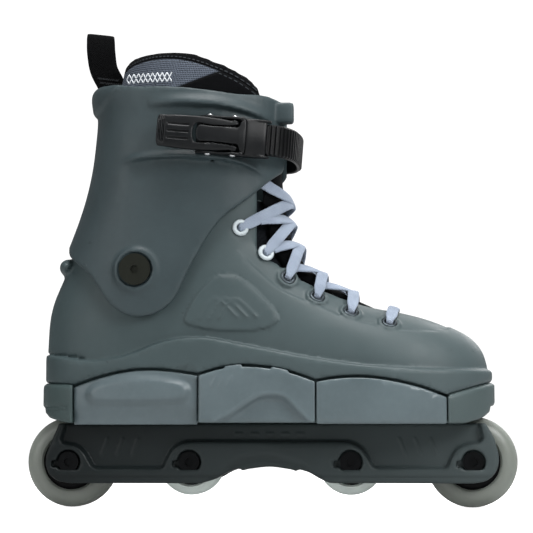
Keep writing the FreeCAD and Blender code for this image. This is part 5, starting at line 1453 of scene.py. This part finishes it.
def make_tongue():
    c = spl([(x, z, w) for x, z, w in T_LINE], 8)
    t = np.gradient(c[:, :2], axis=0)
    t /= np.linalg.norm(t, axis=1)[:, None]
    n = np.stack([t[:, 1], -t[:, 0]], 1)
    m = 40
    L = np.concatenate([[0], np.cumsum(np.linalg.norm(np.diff(c[:, :2], axis=0), axis=1))])
    P = []
    ang = 2 * np.pi * np.arange(m) / m
    for i in range(len(c)):
        e = min(L[i], L[-1] - L[i])
        k = math.sqrt(max(0.03, 1 - (1 - min(1, e / 7.0)) ** 2))
        w = c[i, 2] * (0.75 + 0.25 * k)
        crown = 0.0085 + 0.0095 * float(sstep(np.array((c[i, 1] - 125) / 30)))
        y = w * np.sign(np.cos(ang)) * np.abs(np.cos(ang)) ** 0.7
        th = 3.6 * k * (1 + 0.12 * np.sin(L[i] / 3.1))
        hh = th * np.sign(np.sin(ang)) * np.abs(np.sin(ang)) ** 0.6 - crown * y * y
        P.append(np.stack([c[i, 0] + n[i, 0] * hh, y, c[i, 1] + n[i, 1] * hh], 1))
    P = np.array(P)
    r = len(P)
    idx = np.arange(r * m).reshape(r, m)
    q = np.stack([idx[:-1], np.roll(idx, -1, 1)[:-1], np.roll(idx, -1, 1)[1:], idx[1:]], -1).reshape(-1, 4)
    pts = P.reshape(-1, 3)
    tris = []
    for row, rev in ((0, 0), (r - 1, 1)):
        ci = len(pts)
        pts = np.vstack([pts, P[row].mean(0)])
        for a in range(m):
            b = (a + 1) % m
            tris.append((ci, idx[row, b], idx[row, a]) if not rev else (ci, idx[row, a], idx[row, b]))
    ob = build_mesh("tongue_pad", pts, np.array(tris), q, None, (), M["tongue"])
    def pins(co):
        x, y, z = co.T
        edge = np.abs(np.abs(y) - 0.62 * np.interp(z, c[:, 1], c[:, 2])) < 1.6
        return np.where(edge | (z > 255), 1.0, 0.0)
    new = cloth_puff(ob, 0.0042, 3.5, 1.6, pins)
    bpy.data.objects.remove(ob)
    new.name = "tongue_pad"
    ob = new
    ob.data.materials.clear()
    ob.data.materials.append(M["tongue"])
    ob.data.polygons.foreach_set("use_smooth", np.ones(len(ob.data.polygons), bool))
    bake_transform(ob)
    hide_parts("tongue")


def make_loop():
    """Webbing folded over at the top and sewn down behind the collar."""
    zt = 314.0
    side = [(-2.6, 268), (-2.4, 280), (-3.4, 292), (-4.2, 303), (-3.2, 311.5), (-1.7, 314.6), (0, 315.6)]
    yz = side + [(-y, z) for y, z in side[:-1]][::-1]
    pts, ref = [], []
    for i, (y, z) in enumerate(yz):
        x = -105.5 - 9.5 * sstep((z - 272) / 28) - 0.4 * (z > 308)
        pts.append((x, y, z))
    path = spl(pts, 8)
    t = np.gradient(path, axis=0)
    t /= np.linalg.norm(t, axis=1)[:, None]
    wdir = np.tile([1.0, 0, -0.12], (len(path), 1))
    nref = np.cross(wdir, t)
    rb = ribbon(path, nref, 18.2, 1.5, 28, 0.35)
    p, q, tr, k = rb
    ob = build_mesh("pull_loop_webbing", p, tr, q, "cuff", ["pull_loop"], M["web"])
    put_marks(ob, k)
    # bar-tack rows
    parts = []
    for z0 in (282, 285):
        for s in (-1, 1):
            x0 = -105.5 - 9.5 * float(sstep(np.array((z0 - 272) / 28)))
            xs = np.linspace(x0 - 7.2, x0 + 7.2, 60)
            zz = z0 + 0.5 * np.sign(np.sin(xs * 4.2)) - 0.12 * (xs - x0)
            yy = s * np.full(60, 3.5)
            parts.append(ribbon(np.stack([xs, yy, zz], 1), np.tile([0, float(s), 0], (60, 1)), 0.45, 0.35, 6, 1.0))
    p, q, t_, k = join(parts)
    st = build_mesh("pull_loop_stitches", p, t_, q, "cuff", (), M["thread_dark"])


def make_footbed():
    h = 1.6
    v = Vol((-142, -42, 82), (132, 42, 93), h / 1.6)
    pd = plan_field(v) + 16.0
    arch = 2.2 * np.exp(-((v.X + 15) / 38) ** 2) * sstep((v.Y - 4) / 18) + 1.5 * sstep((-v.X - 95) / 40) * sstep((np.abs(v.Y) - 12) / 12)
    f = smax(smax(pd, v.Z - (87.6 + arch), 1.2), 84.5 - v.Z, 1.0)
    f = smax(f, v.X - 128, 2.0)
    ob = to_mesh("insole", f.astype(np.float32), v, "boot", ["footbed"], M["insole"], adapt=0.01)


def make_pin_heads():
    """Domed ends of the lever and latch pins."""
    parts = []
    for u, hh in ((8.0, 7.2), (-8.0, 6.0)):
        for sg in (-1, 1):
            prof = [(0.02, 1.25), (0.9, 1.12), (1.6, 0.75), (2.0, 0.2), (2.0, -0.25), (1.15, -0.35), (0.02, -0.35)]
            p, q, t, k = lathe([(r, z) for r, z in prof], np.array([u, -hh, sg * 12.55]), np.array([0.0, 0.02, float(sg)]), 24)
            parts.append((place(p), q, t, k))
    p, q, t, _ = join(parts)
    ob = build_mesh("pin_heads", p, t, q, "cuff", (), M["steel"])


# ---------------------------------------------------------------- CAD pieces that are kept, in their finishes
WHEELS = {"heel": (-131.2, 29.5), "rear_inner": (-52.3, 21.5), "front_inner": (52.3, 21.5), "toe": (131.2, 29.5)}
for key, (wx, wr) in WHEELS.items():
    if wr > 25:
        paint(urethane("tyre_" + key, (108, 113, 107), (122, 127, 121), wx, wr), "tyre_" + key)
    else:
        paint(urethane("tyre_" + key, (212, 222, 218), (192, 202, 198), wx, wr), "tyre_" + key)
    paint(M["hub"], "hub_" + key)
    paint(M["steel"], "bearing_races_" + key, "bearing_balls_" + key)
paint(M["spacer"], "bearing_inner_races", "bearing_spacers")
paint(M["steel"], "buckle_rivets", "latch_spring")
paint(M["blackbolt"], "buckle_pins")
paint(M["bronze"], "ankle_bolts")
paint(M["blackbolt"], "wheel_axles", "axle_end_screws", "axle_ferrules", "panel_screws", "strap_anchor_screw", "frame_bolts", "frame_bolt_washers")
paint(M["nut"], "boot_t_nuts", "ankle_nuts", "ankle_washers", "strap_anchor_nut")
paint(M["foam"], "heel_shock_pad")

make_frame()
make_panels()
make_sole()
make_cuff()
shell_base, shell_vol, eye_holes = make_shell()
make_eyelets(eye_holes)
make_buckle()
make_strap()
make_footbed()
make_liner()
make_collar()
make_stitching()
make_tongue()
make_laces(shell_base, shell_vol, eye_holes)
make_loop()
make_pin_heads()


# ---------------------------------------------------------------- stage, light, camera
floor_m = bpy.data.materials.new("studio_floor")
floor_m.use_nodes = True
fb = floor_m.node_tree.nodes["Principled BSDF"]
fb.inputs["Base Color"].default_value = (0.93, 0.93, 0.93, 1)
fb.inputs["Roughness"].default_value = 0.9
fb.inputs["Emission Color"].default_value = (1, 1, 1, 1)
ft = floor_m.node_tree
flp = ft.nodes.new("ShaderNodeLightPath")
fmr = ft.nodes.new("ShaderNodeMapRange")
fmr.inputs["To Min"].default_value = 0.10
fmr.inputs["To Max"].default_value = 0.82
ft.links.new(flp.outputs["Is Camera Ray"], fmr.inputs["Value"])
ft.links.new(fmr.outputs["Result"], fb.inputs["Emission Strength"])
fcx = ft.nodes.new("ShaderNodeMix")
fcx.data_type = "RGBA"
fcs = [i for i in fcx.inputs if i.type == "RGBA"]
fcs[0].default_value = (0.56, 0.56, 0.56, 1)
fcs[1].default_value = (0.93, 0.93, 0.93, 1)
ft.links.new(flp.outputs["Is Camera Ray"], fcx.inputs[0])
ft.links.new(next(o for o in fcx.outputs if o.type == "RGBA"), fb.inputs["Base Color"])
fno = ft.nodes.new("ShaderNodeTexNoise")
fno.inputs["Scale"].default_value = 40.0
fmx = ft.nodes.new("ShaderNodeMapRange")
fmx.inputs["To Min"].default_value = 0.86
fmx.inputs["To Max"].default_value = 0.94
ft.links.new(fno.outputs["Fac"], fmx.inputs["Value"])
ft.links.new(fmx.outputs["Result"], fb.inputs["Roughness"])
me = bpy.data.meshes.new("studio_floor")
bm = bmesh.new()
rows = [[bm.verts.new((x, y, -0.0002)) for x in np.linspace(-9, 9, 7)] for y in np.linspace(-9, 9, 7)]
for a, b in zip(rows[:-1], rows[1:]):
    for k in range(6):
        bm.faces.new((a[k], a[k + 1], b[k + 1], b[k]))
bm.to_mesh(me)
floor = bpy.data.objects.new("studio_floor", me)
me.materials.append(floor_m)
bpy.context.scene.collection.objects.link(floor)

world = bpy.data.worlds.new("studio") if not bpy.context.scene.world else bpy.context.scene.world
bpy.context.scene.world = world
world.use_nodes = True
bgn = world.node_tree.nodes.get("Background") or world.node_tree.nodes.new("ShaderNodeBackground")
bgn.inputs[0].default_value = (1, 1, 1, 1)
bgn.inputs[1].default_value = 1.0
wt = world.node_tree
lp = wt.nodes.new("ShaderNodeLightPath")
mr = wt.nodes.new("ShaderNodeMapRange")
mr.inputs["To Min"].default_value = 0.26
mr.inputs["To Max"].default_value = 1.10
wt.links.new(lp.outputs["Is Camera Ray"], mr.inputs["Value"])
wt.links.new(mr.outputs["Result"], bgn.inputs[1])


def area(name, loc, target, size, power, sy=None):
    L = bpy.data.lights.new(name, "AREA")
    L.shape = "RECTANGLE"
    L.size, L.size_y = size, sy or size
    L.energy = power
    o = bpy.data.objects.new(name, L)
    o.location = loc
    o.rotation_euler = (Vector(target) - Vector(loc)).to_track_quat("-Z", "Y").to_euler()
    bpy.context.scene.collection.objects.link(o)
    return o


lights = [area("key", (0.62, -0.62, 0.62), (0.05, 0, 0.12), 0.4, 7.8),
          area("fill", (-0.9, -0.9, 0.5), (0, 0, 0.15), 0.8, 5.0),
          area("top", (0.05, -0.30, 1.25), (0, 0, 0.1), 0.55, 15),
          area("rim", (0.6, 0.9, 0.8), (0, 0, 0.15), 0.8, 7)]

cam_d = bpy.data.cameras.new("camera")
cam = bpy.data.objects.new("camera", cam_d)
bpy.context.scene.collection.objects.link(cam)
CX, CY, CZ, YAWC, PITC, FPX = 0.07285, -1.24332, 0.04373, -0.061190, 0.091900, 1882.0
cam.location = (CX, CY, CZ)
fw = Vector((math.sin(YAWC) * math.cos(PITC), math.cos(YAWC) * math.cos(PITC), math.sin(PITC)))
cam.rotation_euler = fw.to_track_quat("-Z", "Y").to_euler()
cam_d.sensor_width = 36.0
cam_d.lens = FPX / 533.0 * 36.0
cam_d.clip_start = 0.05
bpy.context.scene.camera = cam
bpy.context.scene.view_settings.view_transform = "Standard"
